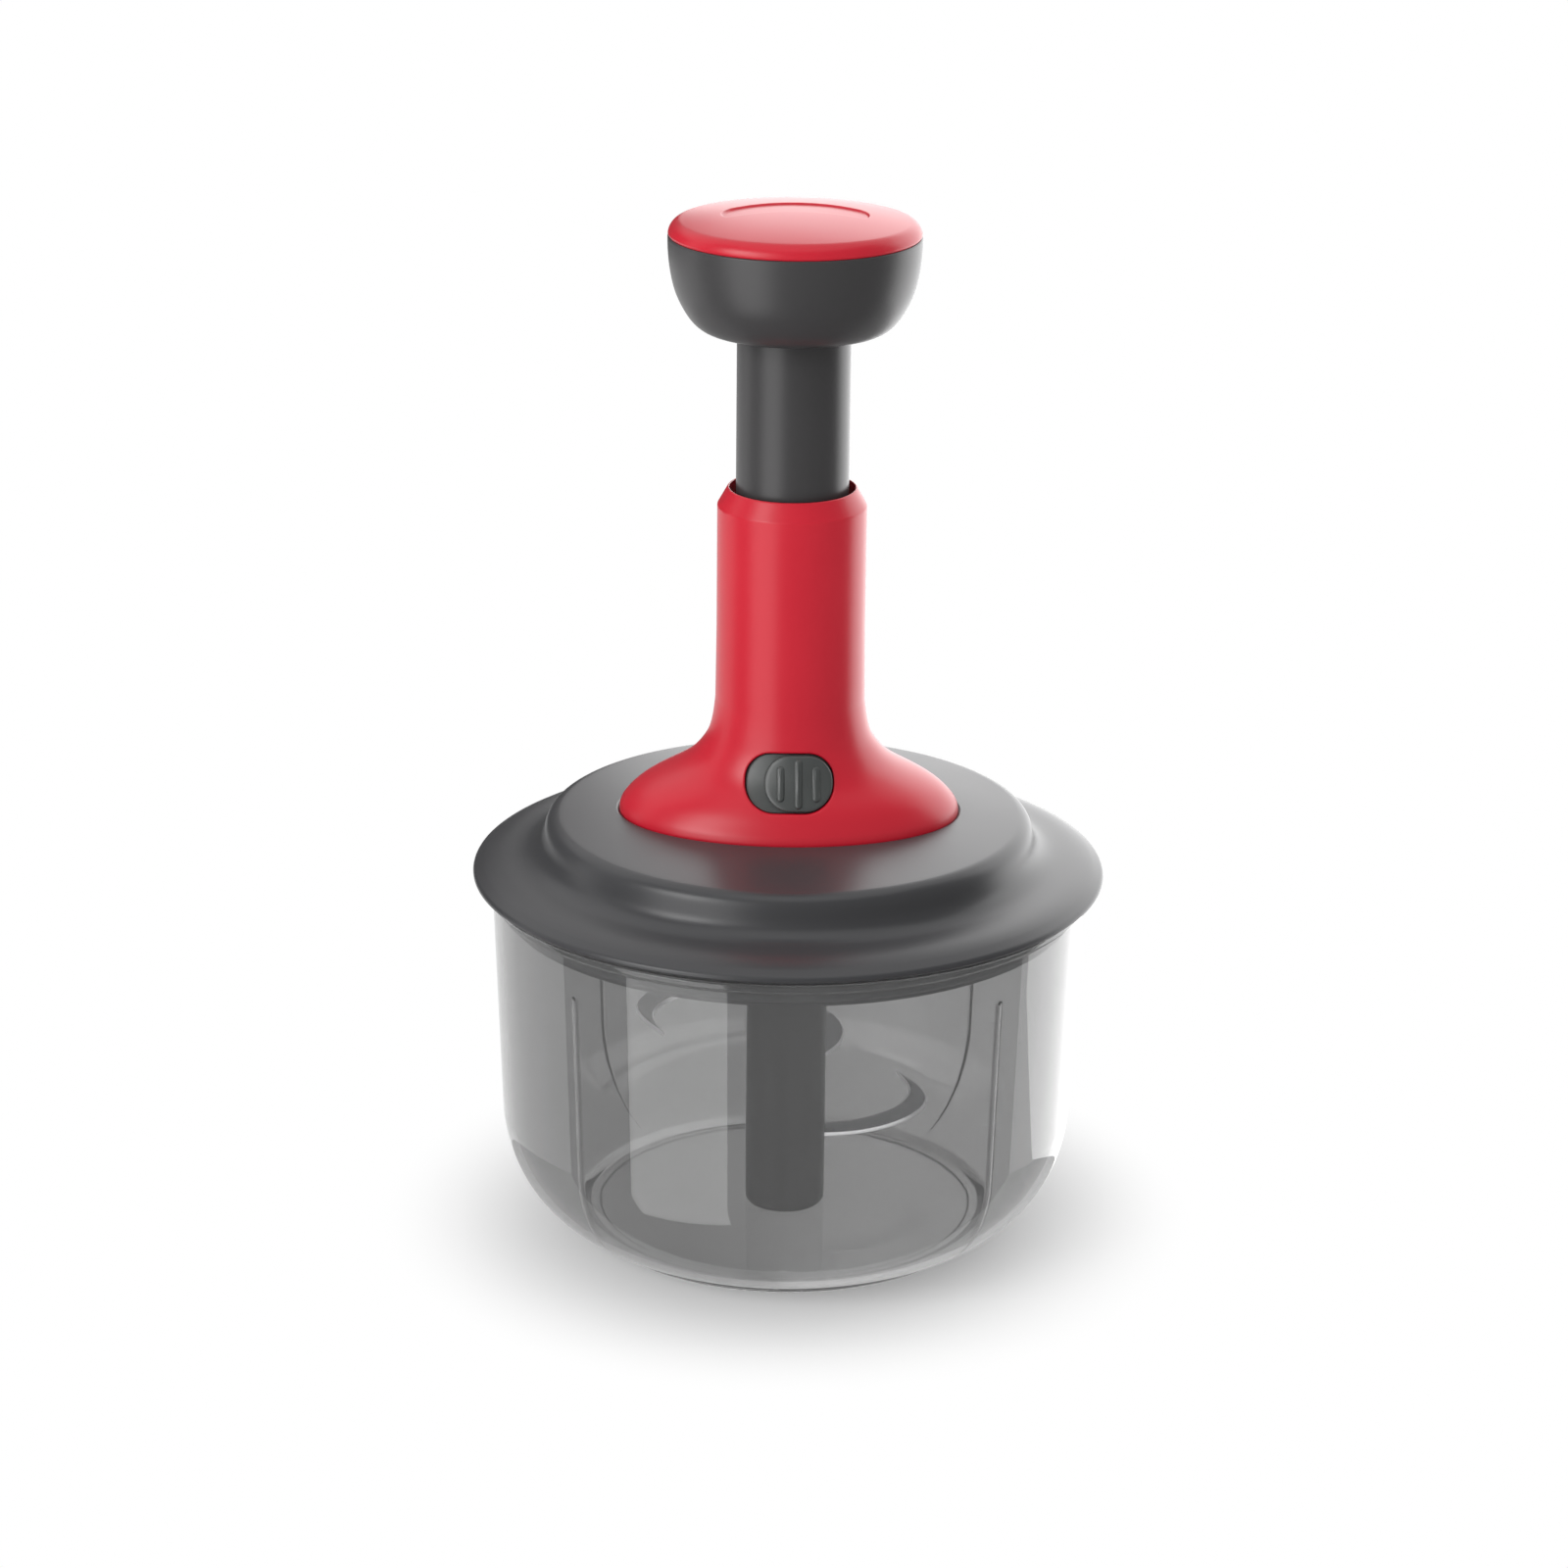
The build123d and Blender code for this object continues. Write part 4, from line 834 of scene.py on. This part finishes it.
def window_rings(boundary):
    """Rings from the patch's boundary in to the window, over its rounded edge, down its wall and
    across the floor of the pocket. A ring on the skin is a blend of boundary and outline on the
    slider's plane, set on the tower."""
    flat = boundary - LOCK_CENTRE
    border = np.stack([flat @ LOCK_RIGHT, flat @ LOCK_UP], -1)
    outline = slot_outline(*WINDOW, count=720)
    bearing, around = (
        np.arctan2(line[:, 1] * WINDOW_ASPECT, line[:, 0]) for line in (border, outline))
    order = np.argsort(around)
    rim = np.stack([
        np.interp(bearing, around[order], outline[order, i], period=TURN) for i in (0, 1)], -1)
    edge, depth = WINDOW_EDGE, POCKET_SINK
    skin = [(grown(rim, edge + 0.1) * (1 - share) + border * share, 0)
            for share in (0.86, 0.7, 0.54, 0.39, 0.25, 0.13, 0.05)]
    rounding = [(grown(rim, edge * (1 - math.sin(turn))), edge * (1 - math.cos(turn)))
                for turn in np.radians([0, 15, 30, 45, 60, 75, 90])]
    pocket = [(grown(rim, margin), depth - rise)
              for margin, rise in ((0, 0.3), (-0.1, 0.1), (-0.3, 0))]
    rows = [*skin, *rounding, *pocket, (rim * 0.5, depth)]
    return np.stack([lock_point(*ring.T, on_tower(*ring.T) - sink) for ring, sink in rows])


def make_tower():
    """Tower: oval rings up the flare and tube, over the bevelled collar and down the inside,
    joined at the foot. The skin in front is a patch of rings that ends in the slider's window."""
    angles = tower_columns()
    heights, first, last = tower_rows()
    skin = rings(angles, heights[:, None], *(half[:, None] for half in flare(heights)))
    collar = rounded([
        (TUBE_R, 176), (TUBE_R, 178.45, 1.0), (15.1, 182.5, 0.5), (COLLAR_R, TOWER_TOP, 0.2),
        (COLLAR_R, 178.7, 0.1), (TUBE_BORE, 178.7), (TUBE_BORE, 150), (TUBE_BORE, 134),
    ])
    grid = np.concatenate([skin, turn_round(collar, angles), tower_inside(angles)])
    index = np.arange(grid.shape[0] * grid.shape[1]).reshape(grid.shape[:2])
    quads = strip(index, joined=True).reshape(*index.shape, 4)
    keep = np.ones(index.shape, bool)
    keep[first:last, :PATCH_COLUMNS] = False
    border = np.concatenate([
        index[first, :PATCH_COLUMNS], index[first:last, PATCH_COLUMNS],
        index[last, PATCH_COLUMNS:0:-1], index[last:first:-1, 0],
    ])
    points = grid.reshape(-1, 3)
    inner = window_rings(points[border])
    inner_index = len(points) + np.arange(inner.shape[0] * inner.shape[1]).reshape(inner.shape[:2])
    middle = len(points) + inner_index.size
    points = np.vstack([points, inner.reshape(-1, 3), inner[-1].mean(0)])
    quads = np.vstack([quads[keep], strip(np.vstack([border, inner_index]))])
    end = inner_index[-1]
    return [(points, quads, np.stack([np.full(len(end), middle), end, np.roll(end, -1)], -1))]


# ---------------------------------------------------------------- slider
GRIP_RIBS = ((-4.15, 8.2), (0, 11.4), (4.15, 8.2))      # place across the piece, and length
GRIP_HALF, GRIP_DROP = 0.95, -0.15   # half a grip rib's width, and its middle's height
PAD_RIM, PAD_HALF = 1.5, 8   # width of a pad's rim, and about half of the pad's width


def on_thumb(u, v):
    """Top form of the thumb piece: the tower's surface, centred on the piece."""
    return on_tower(u - THUMB_SHIFT, v)


def under_thumb(u, v):
    """Form that clears the plate all along the slide. The highest part of the plate's curve that
    a point passes over lies half a slide nearer to the middle."""
    return on_tower(np.maximum(np.abs(u - THUMB_SHIFT) - THUMB_SHIFT, 0), v)


def pad(outline, rows, low, top_form, low_form):
    """Pad from its outline: rows of (inward margin, height above the top form) run from its rim
    to its middle, and its underside lies at the low height above the low form. Near the rim a
    margin moves the outline along its normals, and farther in it shrinks it to its middle."""
    centre = outline.mean(0)
    under = [(0.3, low, low_form), (0, low + 0.08, low_form)]
    grid = []
    for margin, rise, form in under + [(*row, top_form) for row in rows]:
        ring = (grown(outline, -margin) if margin < PAD_RIM
                else centre + (outline - centre) * (1 - margin / PAD_HALF))
        grid.append(lock_point(*ring.T, form(*ring.T) + rise))
    return shell(np.stack(grid))


def make_lock_plate():
    """Plate behind the thumb piece: fills the window below its edge and follows the tower's
    curve."""
    outline = grown(slot_outline(*WINDOW), -0.12)
    dips = ((0, -0.25), (0.08, -0.12), (0.25, -0.05), (2, 0), (5, 0))
    rows = [(margin, dip - PLATE_SINK) for margin, dip in dips]
    return [pad(outline, rows, 0.1 - POCKET_SINK, on_tower, on_tower)]


def make_thumb(sizes):
    """Thumb piece: a crowned pad with three upright grip ribs, each a rounded bar that grows
    from about half of its rise at the top to all of it at the bottom."""
    outline = slot_outline(*THUMB) + [THUMB_SHIFT, 0]
    rows = [(0, -0.3), (0.05, -0.16), (0.14, -0.04), (0.3, 0.06), (0.6, 0.14), (1.2, 0.2),
            (3, 0.25), (6, 0.25)]
    shells = [pad(outline, rows, 0.1 - PLATE_SINK, on_thumb, under_thumb)]
    for shift, length in GRIP_RIBS:
        bar = slot_outline(GRIP_HALF, length / 2, 0.94, 0.94, 72) + [THUMB_SHIFT + shift, GRIP_DROP]
        grid = [lock_point(*bar.T, on_thumb(*bar.T) - 0.2)]
        for turn in np.radians([0, 12, 25, 38, 52, 66, 80]):
            ring = grown(bar, -0.9 * (1 - math.cos(turn)))
            swell = 0.55 + 0.45 * ramp(GRIP_DROP - ring[:, 1], -length / 2, length / 2)
            rise = 0.15 + sizes.grip_rise / MM * math.sin(turn) * swell
            grid.append(lock_point(*ring.T, on_thumb(*ring.T) + rise))
        shells.append(shell(np.stack(grid)))
    return shells


# ---------------------------------------------------------------- plunger
KNOB_R, KNOB_LOW, KNOB_RIM = 29, 219.9, 241.6
SLEEVE_R = 13.1              # the tube in the knob
DOME_R, DOME_TOP, DOME_DROP = 26.3, 247.6, 2.5
CAP_LOW, CAP_PLUG = 241.62, (26.4, 24.4, 238.4)         # its plug: outside, inside, low
RECESS_MIDDLE = np.array([0, 2.5])
RECESS_CORNERS = [(-15.4, -5.4), (15.4, -5.4), (14.8, 3.4), (-14.8, 3.4)]
RECESS_SIDES = [((0, -2.6), 46), ((16.6, -1.0), 14), ((0, 8.2), 52), ((-16.6, -1.0), 14)]
WIRE_R, COIL_R, SPRING_TOP = 0.7, 9.6, 158.2


def make_knob(sizes):
    """Knob: one turned section round its bowl shape, its rim and its hollow."""
    side = spline(
        [(19.6, KNOB_LOW), (23.3, 221.9), (25.4, 224.8), (27.1, 228.3), (28.3, 232.8),
         (KNOB_R, 240.7)], 40, (1, 0.05), (0, 1))
    inner = spline([(26.5, 238), (25, 229.4), (23, 225.4), (20, 222.6)], 20, (0, -1), (-1, -0.2))
    section = rounded([
        (SLEEVE_R, 222), (SLEEVE_R, KNOB_LOW, 0.25), (16, KNOB_LOW), side,
        (KNOB_R, KNOB_RIM, 0.35), (26.5, KNOB_RIM, 0.2), inner, (15.6, 222.4, 0.5),
        (15.6, 236.4, 0.3), (2, 236.4, 0.2), (2, 234), (SLEEVE_R, 234),
    ])
    return [shell(turn_round(section, circle(sizes.around)), loop=True)]


def recess_outline():
    """Bare recess of the cap: four arcs, each through its middle point and with its number of
    points, with small rounded corners between them."""
    fine = 200
    outline = []
    for i, (middle, count) in enumerate(RECESS_SIDES):
        start, end = RECESS_CORNERS[i], RECESS_CORNERS[(i + 1) % 4]
        bow = three_point_arc(start, middle, end, fine)
        gap = 1.3 / np.linalg.norm(np.diff(bow, axis=0), axis=1).sum()
        chosen = (np.linspace(gap, 1 - gap, count) * (fine - 1)).astype(int)
        outline += [(*start, 0.9), bow[chosen]]
    return rounded(outline, steps=6, closed=True)


def make_cap(sizes):
    """Palm cap: rings from the recess's floor over its edge, spreading into circles, over the
    dome and its rolled rim and back underneath. A point's height on top is the dome's at its
    radius, less the recess inside the edge."""
    plan = recess_outline()
    bearing = np.arctan2(*(plan - RECESS_MIDDLE).T[::-1])

    def dome(flat, sink):
        radius = np.linalg.norm(flat, axis=1)
        z = ball_cap(radius, DOME_R, DOME_TOP, DOME_DROP) - sink * sizes.recess_depth / MM
        return np.hstack([flat, z[:, None]])

    rows = [dome(RECESS_MIDDLE + (plan - RECESS_MIDDLE) * share, 1)
            for share in (0.12, 0.35, 0.6, 0.8)]
    rows += [dome(grown(plan, margin), sink) for margin, sink in (
        (-0.45, 1), (-0.25, 0.97), (-0.12, 0.8), (0, 0.5), (0.12, 0.2), (0.25, 0.03), (0.45, 0))]
    start = grown(plan, 0.45)
    ring = DOME_R * np.stack([np.cos(bearing), np.sin(bearing)], -1)
    rows += [dome(start + (ring - start) * share, 0) for share in np.linspace(0, 1, 22)[1:]]
    roll = spline([(DOME_R, 245.1), (28.2, 243.9), (28.95, 242.1)], 16, (1, -0.19), (0.1, -1))
    plug_out, plug_in, plug_low = CAP_PLUG
    section = rounded([
        roll[1:], (28.65, CAP_LOW, 0.1), (plug_out, CAP_LOW), (plug_out, plug_low, 0.3),
        (plug_in, plug_low, 0.3), (plug_in, 242.9, 0.6), (12, 244.8), (1, 245.4),
    ])
    return [shell(np.concatenate([np.stack(rows), turn_round(section, bearing)]))]


def make_spring(sizes):
    """Return spring: a round wire on a helix whose pitch closes up over the first and last
    turn. The wire's circle stands on the outward direction and on that crossed with the way."""
    low, high = SEAT_Z + WIRE_R, SPRING_TOP - WIRE_R
    walk = np.linspace(0, 1, 60 * sizes.spring_turns)
    angle = walk * sizes.spring_turns * TURN
    pace = 0.12 + ramp(walk, 0.06, 0.2) * (1 - ramp(walk, 0.8, 0.94))
    climb = np.cumsum(pace) - pace[0]
    spine = rings(angle, low + (high - low) * climb / climb[-1], COIL_R)
    outwards = rings(angle, 0, 1)
    up = np.cross(outwards, np.gradient(spine, axis=0))
    up /= np.linalg.norm(up, axis=1, keepdims=True)
    section = circle(12)[:, None]
    wire = outwards[:, None] * np.cos(section) + up[:, None] * np.sin(section)
    return [shell(spine[:, None] + WIRE_R * wire)]


# ---------------------------------------------------------------- operators
CAD_FINISHES = (             # finish, and the nodes with it that keep their CAD shape
    (charcoal_abs, ("plunger_sleeve", "drive_coupler")),
    (lid_polypropylene, ("lid_inner_plate",)),
    (slider_acetal, ("lock_catch",)),
    (bearing_acetal, ("hub_bush", "guide_bush", "bearing_bush", "drive_nut", "clutch_ring")),
    (plated_steel, ("nut_retainer", "pivot_pin", "drive_shaft", "shaft_clip", "coupler_screw",
                    "housing_screws", "lid_screws", "knob_screw", "thrust_washer")),
)


def choices(context):
    """Sizes and colours that are set in the scene."""
    return context.scene.chopper_sizes, context.scene.chopper_colours


class CHOPPER_OT_bowl(bpy.types.Operator):
    """Clear bowl with its bead, foot ring, boss and four inner ribs"""
    bl_idname = "chopper.bowl"
    bl_label = "Bowl"
    bl_options = {"REGISTER", "UNDO"}

    def execute(self, context):
        sizes, colours = choices(context)
        add_piece("clear_bowl", make_bowl(sizes), "bowl",
                  clear_san(colours), "bowl")
        return {"FINISHED"}


class CHOPPER_OT_blades(bpy.types.Operator):
    """Blade post and its three sickle blades"""
    bl_idname = "chopper.blades"
    bl_label = "Blade post"
    bl_options = {"REGISTER", "UNDO"}

    def execute(self, context):
        colours = choices(context)[1]
        add_piece("blade_post", make_post(), "blade_rotor",
                  charcoal_abs(colours), "blade_hub")
        for node, place in BLADE_PLACES.items():
            blade = add_piece(f"{node}_ground", make_blade(*place), "blade_rotor",
                              blade_steel_painted_dark(colours), node)
            grind(blade, ground_steel_painted_highlight(colours))
        return {"FINISHED"}


class CHOPPER_OT_lid(bpy.types.Operator):
    """Lid cover and its sealing ring"""
    bl_idname = "chopper.lid"
    bl_label = "Lid"
    bl_options = {"REGISTER", "UNDO"}

    def execute(self, context):
        sizes, colours = choices(context)
        add_piece("lid", make_lid(sizes), "lid",
                  lid_polypropylene(colours), "lid_cover")
        add_piece("sealing_ring", make_seal(sizes), "lid",
                  seal_silicone(colours), "lid_seal")
        return {"FINISHED"}


class CHOPPER_OT_tower(bpy.types.Operator):
    """Handle tower with its oval foot, bevelled collar and slider window"""
    bl_idname = "chopper.tower"
    bl_label = "Tower"
    bl_options = {"REGISTER", "UNDO"}

    def execute(self, context):
        colours = choices(context)[1]
        add_piece("tower", make_tower(), "lid", red_abs(colours), "handle_housing")
        return {"FINISHED"}


class CHOPPER_OT_slider(bpy.types.Operator):
    """Lock plate and ribbed thumb piece"""
    bl_idname = "chopper.slider"
    bl_label = "Slider"
    bl_options = {"REGISTER", "UNDO"}

    def execute(self, context):
        sizes, colours = choices(context)
        add_piece("slider_plate", make_lock_plate(), "lid",
                  slider_acetal(colours), "lock_plate")
        add_piece("thumb_piece", make_thumb(sizes), "lock_slider",
                  slider_acetal(colours), "lock_button")
        return {"FINISHED"}


class CHOPPER_OT_knob(bpy.types.Operator):
    """Knob and palm cap"""
    bl_idname = "chopper.knob"
    bl_label = "Knob"
    bl_options = {"REGISTER", "UNDO"}

    def execute(self, context):
        sizes, colours = choices(context)
        add_piece("knob", make_knob(sizes), "plunger",
                  charcoal_abs(colours), "knob_body")
        add_piece("palm_cap", make_cap(sizes), "plunger",
                  red_abs(colours), "knob_cap")
        return {"FINISHED"}


class CHOPPER_OT_spring(bpy.types.Operator):
    """Return spring of plated steel wire"""
    bl_idname = "chopper.spring"
    bl_label = "Return spring"
    bl_options = {"REGISTER", "UNDO"}

    def execute(self, context):
        sizes, colours = choices(context)
        spring = add_piece("coil_spring", make_spring(sizes), "lid",
                           plated_steel(colours), "return_spring")
        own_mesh(spring)
        return {"FINISHED"}


class CHOPPER_OT_works(bpy.types.Operator):
    """Finishes for the tube, the drive and the small pieces that keep their CAD shape"""
    bl_idname = "chopper.works"
    bl_label = "Tube, drive and fasteners"
    bl_options = {"REGISTER", "UNDO"}

    def execute(self, context):
        colours = choices(context)[1]
        for finish, nodes in CAD_FINISHES:
            for node in nodes:
                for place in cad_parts[node].material_slots:
                    place.material = finish(colours)
        return {"FINISHED"}


# ---------------------------------------------------------------- studio
WHITE = (1, 1, 1, 1)
LENS, SENSOR = 96.67, 36.0   # mm
SEEN = (0.05, 50)            # nearest and farthest that the camera sees, in metres
AIM = Vector((-0.001208, 0, 0.10975))
ROLL = 0.0109                # the camera leans this little, in radians
FLOOR_REACH = 8.0            # metres from its middle to its edges
FLOOR_PAINT = (0.86, 0.86, 0.86, 1)
FLOOR_FADE = {"From Min": 0.06, "From Max": 0.1, "To Min": 0.17, "To Max": 1.0}   # by radius
ROOM_FADE = {"From Min": -0.04, "From Max": 0.04, "To Min": 0.75, "To Max": 1.25}  # left to right
CARD_REACH, CARD_POINTS = 2.5, 33    # radius of the cards in metres, and points to a side
CARDS = {        # setting of the radiance, kind of ray, bearings and elevations in degrees
    "dark_cloth_front": ("flag", "glossy", (-97, 103), (-89, 58)),
    "dark_cloth_rear": ("flag", "glossy", (-174, -112), (-8, 28)),
    "grey_cloth_below": ("below", "glossy", (103, 263), (-89, -26)),
    "white_card": ("card", "transmission", (-100, 100), (2, 48)),
}
SOFT_BOXES = {   # setting of the radiance, bearing, distance, low and high end, width, seen through
    "key_box": ("key", -43, 1.15, -0.95, 1.1, 0.86, True),
    "rim_box": ("rim", 146, 1.4, -0.72, 1.3, 2.3, False),
    "top_box": ("top", -52, 1.0, 0.5, 0.95, 0.5, True),
}


def add_floor():
    """Pale floor. The camera sees its paint and the shadow on it near the object, and a glow that
    grows to full white between the fade's radii. Glossy rays pass the floor, so the white room
    shows in reflections and through the bowl."""
    corners = np.array([(-1, -1, 0), (1, -1, 0), (1, 1, 0), (-1, 1, 0)])
    material, tree = begin("pale studio floor")
    path = add_node(tree, "ShaderNodeLightPath").outputs
    where = add_node(tree, "ShaderNodeTexCoord").outputs["Object"]
    away = add_node(tree, "ShaderNodeVectorMath", {"operation": "LENGTH"}, links={0: where})
    white = add_node(tree, "ShaderNodeMapRange", {"interpolation_type": "SMOOTHSTEP"}, FLOOR_FADE,
                     {"Value": away.outputs["Value"]})
    paint = add_node(tree, "ShaderNodeBsdfDiffuse", None, {"Color": FLOOR_PAINT})
    glow = add_node(tree, "ShaderNodeEmission", None, {"Color": WHITE, "Strength": 1.0})
    clear = add_node(tree, "ShaderNodeBsdfTransparent")
    seen = add_node(tree, "ShaderNodeMixShader", links={0: white, 1: paint, 2: glow})
    lit = add_node(tree, "ShaderNodeMixShader",
                   links={0: path["Is Camera Ray"], 1: paint, 2: seen})
    whole = add_node(tree, "ShaderNodeMixShader",
                     links={0: path["Is Glossy Ray"], 1: lit, 2: clear})
    add_node(tree, "ShaderNodeOutputMaterial", links={"Surface": whole})
    add_object("floor", corners * FLOOR_REACH, [(0, 1, 2, 3)], material)


def add_card(name, radiance, ray, bearings, elevations):
    """Cloth or card as part of a sphere, between two bearings from the front and two elevations.
    One kind of ray sees it, but a ray that has passed the clear bowl is both a transmission ray
    and a glossy one, so it sees the cloths as well as the card."""
    ends = (bearings, elevations)
    azimuth, elevation = np.meshgrid(*(np.radians(np.linspace(*e, CARD_POINTS)) for e in ends))
    level = np.cos(elevation)
    points = CARD_REACH * np.stack(
        [np.sin(azimuth) * level, -np.cos(azimuth) * level, np.sin(elevation)], -1)
    index = np.arange(azimuth.size).reshape(azimuth.shape)
    quads = np.stack([index[:-1, :-1], index[:-1, 1:], index[1:, 1:], index[1:, :-1]], -1)
    material, tree = begin(f"studio {name}")
    material.cycles.emission_sampling = "NONE"   # rays find the card unaided, without grain
    glow = add_node(tree, "ShaderNodeEmission", None, {"Color": WHITE, "Strength": radiance})
    add_node(tree, "ShaderNodeOutputMaterial", links={"Surface": glow})
    card = add_object(name, points.reshape(-1, 3), quads.reshape(-1, 4).tolist(), material)
    for kind in ("camera", "diffuse", "glossy", "transmission", "shadow"):
        setattr(card, f"visible_{kind}", kind == ray)


def add_soft_box(name, radiance, bearing, distance, low, high, width, seen_through):
    """Soft box that stands at a bearing from the front, positive to the right, and faces the
    object. Its power is its radiance times pi times its area. One that isn't seen through the
    bowl leaves the white room behind it there."""
    lamp = bpy.data.lights.new(name, "AREA")
    lamp.shape = "RECTANGLE"
    lamp.size, lamp.size_y = width, high - low
    lamp.energy = radiance * math.pi * width * (high - low)
    box = bpy.data.objects.new(name, lamp)
    angle = math.radians(bearing)
    place = Vector((math.sin(angle), -math.cos(angle), 0)) * distance
    box.rotation_mode = "QUATERNION"
    box.rotation_quaternion = place.to_track_quat("Z", "Y")
    box.location = place + Vector((0, 0, (low + high) / 2))
    box.visible_camera = False
    box.visible_transmission = seen_through
    bpy.context.scene.collection.objects.link(box)


def add_room(fill_light):
    """White room: an even fill for the object, full white for camera and reflections, and for
    rays through the bowl a white that is a quarter darker at the left and a quarter brighter at
    the right, with a smooth change between them."""
    world = bpy.data.worlds.new("white room")
    bpy.context.scene.world = world
    world.use_nodes = True
    tree = world.node_tree
    tree.nodes.clear()
    path = add_node(tree, "ShaderNodeLightPath").outputs
    white = add_node(tree, "ShaderNodeMath", {"operation": "MAXIMUM"},
                     links={0: path["Is Camera Ray"], 1: path["Is Glossy Ray"]})
    fill, backdrop = (
        add_node(tree, "ShaderNodeBackground", None, {"Color": WHITE, "Strength": strength})
        for strength in (fill_light, 1.0))
    mixed = add_node(tree, "ShaderNodeMixShader", links={0: white, 1: fill, 2: backdrop})
    toward = add_node(tree, "ShaderNodeTexCoord").outputs["Generated"]
    across = add_node(tree, "ShaderNodeSeparateXYZ", links={0: toward})
    graded = add_node(tree, "ShaderNodeMapRange", {"interpolation_type": "SMOOTHSTEP"}, ROOM_FADE,
                      {"Value": across.outputs["X"]})
    through = add_node(tree, "ShaderNodeBackground", None, {"Color": WHITE}, {"Strength": graded})
    room = add_node(tree, "ShaderNodeMixShader",
                    links={0: path["Is Transmission Ray"], 1: mixed, 2: through})
    add_node(tree, "ShaderNodeOutputWorld", links={"Surface": room})


def add_camera(studio):
    """Camera that looks down at the aim point from the front, leaning a little."""
    lens = bpy.data.cameras.new("camera")
    lens.lens, lens.sensor_width = LENS, SENSOR
    lens.clip_start, lens.clip_end = SEEN
    camera = bpy.data.objects.new("camera", lens)
    down = studio.camera_height
    ahead = Vector((0, math.cos(down), -math.sin(down)))
    level_up = Vector((0, math.sin(down), math.cos(down)))
    up = level_up * math.cos(ROLL) - Vector((1, 0, 0)) * math.sin(ROLL)
    turn = Matrix((ahead.cross(up), up, -ahead)).transposed()
    place = Matrix.Translation(AIM - ahead * studio.camera_distance)
    camera.matrix_world = place @ turn.to_4x4()
    bpy.context.scene.collection.objects.link(camera)
    bpy.context.scene.camera = camera
    bpy.context.scene.view_settings.view_transform = "Standard"


class CHOPPER_OT_stage(bpy.types.Operator):
    """Floor, cloths, card, white room, soft boxes and camera"""
    bl_idname = "chopper.stage"
    bl_label = "Studio"
    bl_options = {"REGISTER", "UNDO"}

    def execute(self, context):
        studio = context.scene.chopper_studio
        add_floor()
        for name, (setting, *place) in CARDS.items():
            add_card(name, getattr(studio, setting), *place)
        add_room(studio.sky)
        for name, (setting, *place) in SOFT_BOXES.items():
            add_soft_box(name, getattr(studio, setting), *place)
        add_camera(studio)
        return {"FINISHED"}


class CHOPPER_PT_panel(bpy.types.Panel):
    """Steps of the chopper, with the sizes and colours they read"""
    bl_idname = "CHOPPER_PT_panel"
    bl_label = "Food chopper"
    bl_space_type = "VIEW_3D"
    bl_region_type = "UI"
    bl_category = "Chopper"

    def draw(self, context):
        for name, kind in GROUPS.items():
            box = self.layout.box()
            for setting in kind.__annotations__:
                box.prop(getattr(context.scene, name), setting)
        for step in STEPS:
            self.layout.operator(step.bl_idname)


GROUPS = {
    "chopper_sizes": ChopperSizes,
    "chopper_colours": ChopperColours,
    "chopper_studio": ChopperStudio,
}
STEPS = (
    CHOPPER_OT_stage, CHOPPER_OT_bowl, CHOPPER_OT_blades, CHOPPER_OT_lid, CHOPPER_OT_tower,
    CHOPPER_OT_slider, CHOPPER_OT_knob, CHOPPER_OT_spring, CHOPPER_OT_works,
)


def register():
    for kind in (*GROUPS.values(), *STEPS, CHOPPER_PT_panel):
        bpy.utils.register_class(kind)
    for name, group in GROUPS.items():
        setattr(bpy.types.Scene, name, PointerProperty(type=group))


def unregister():
    for name in GROUPS:
        delattr(bpy.types.Scene, name)
    for kind in reversed((*GROUPS.values(), *STEPS, CHOPPER_PT_panel)):
        bpy.utils.unregister_class(kind)


def main():
    register()
    for step in STEPS:
        group, name = step.bl_idname.split(".")
        getattr(getattr(bpy.ops, group), name)()


if __name__ == "__main__":
    main()
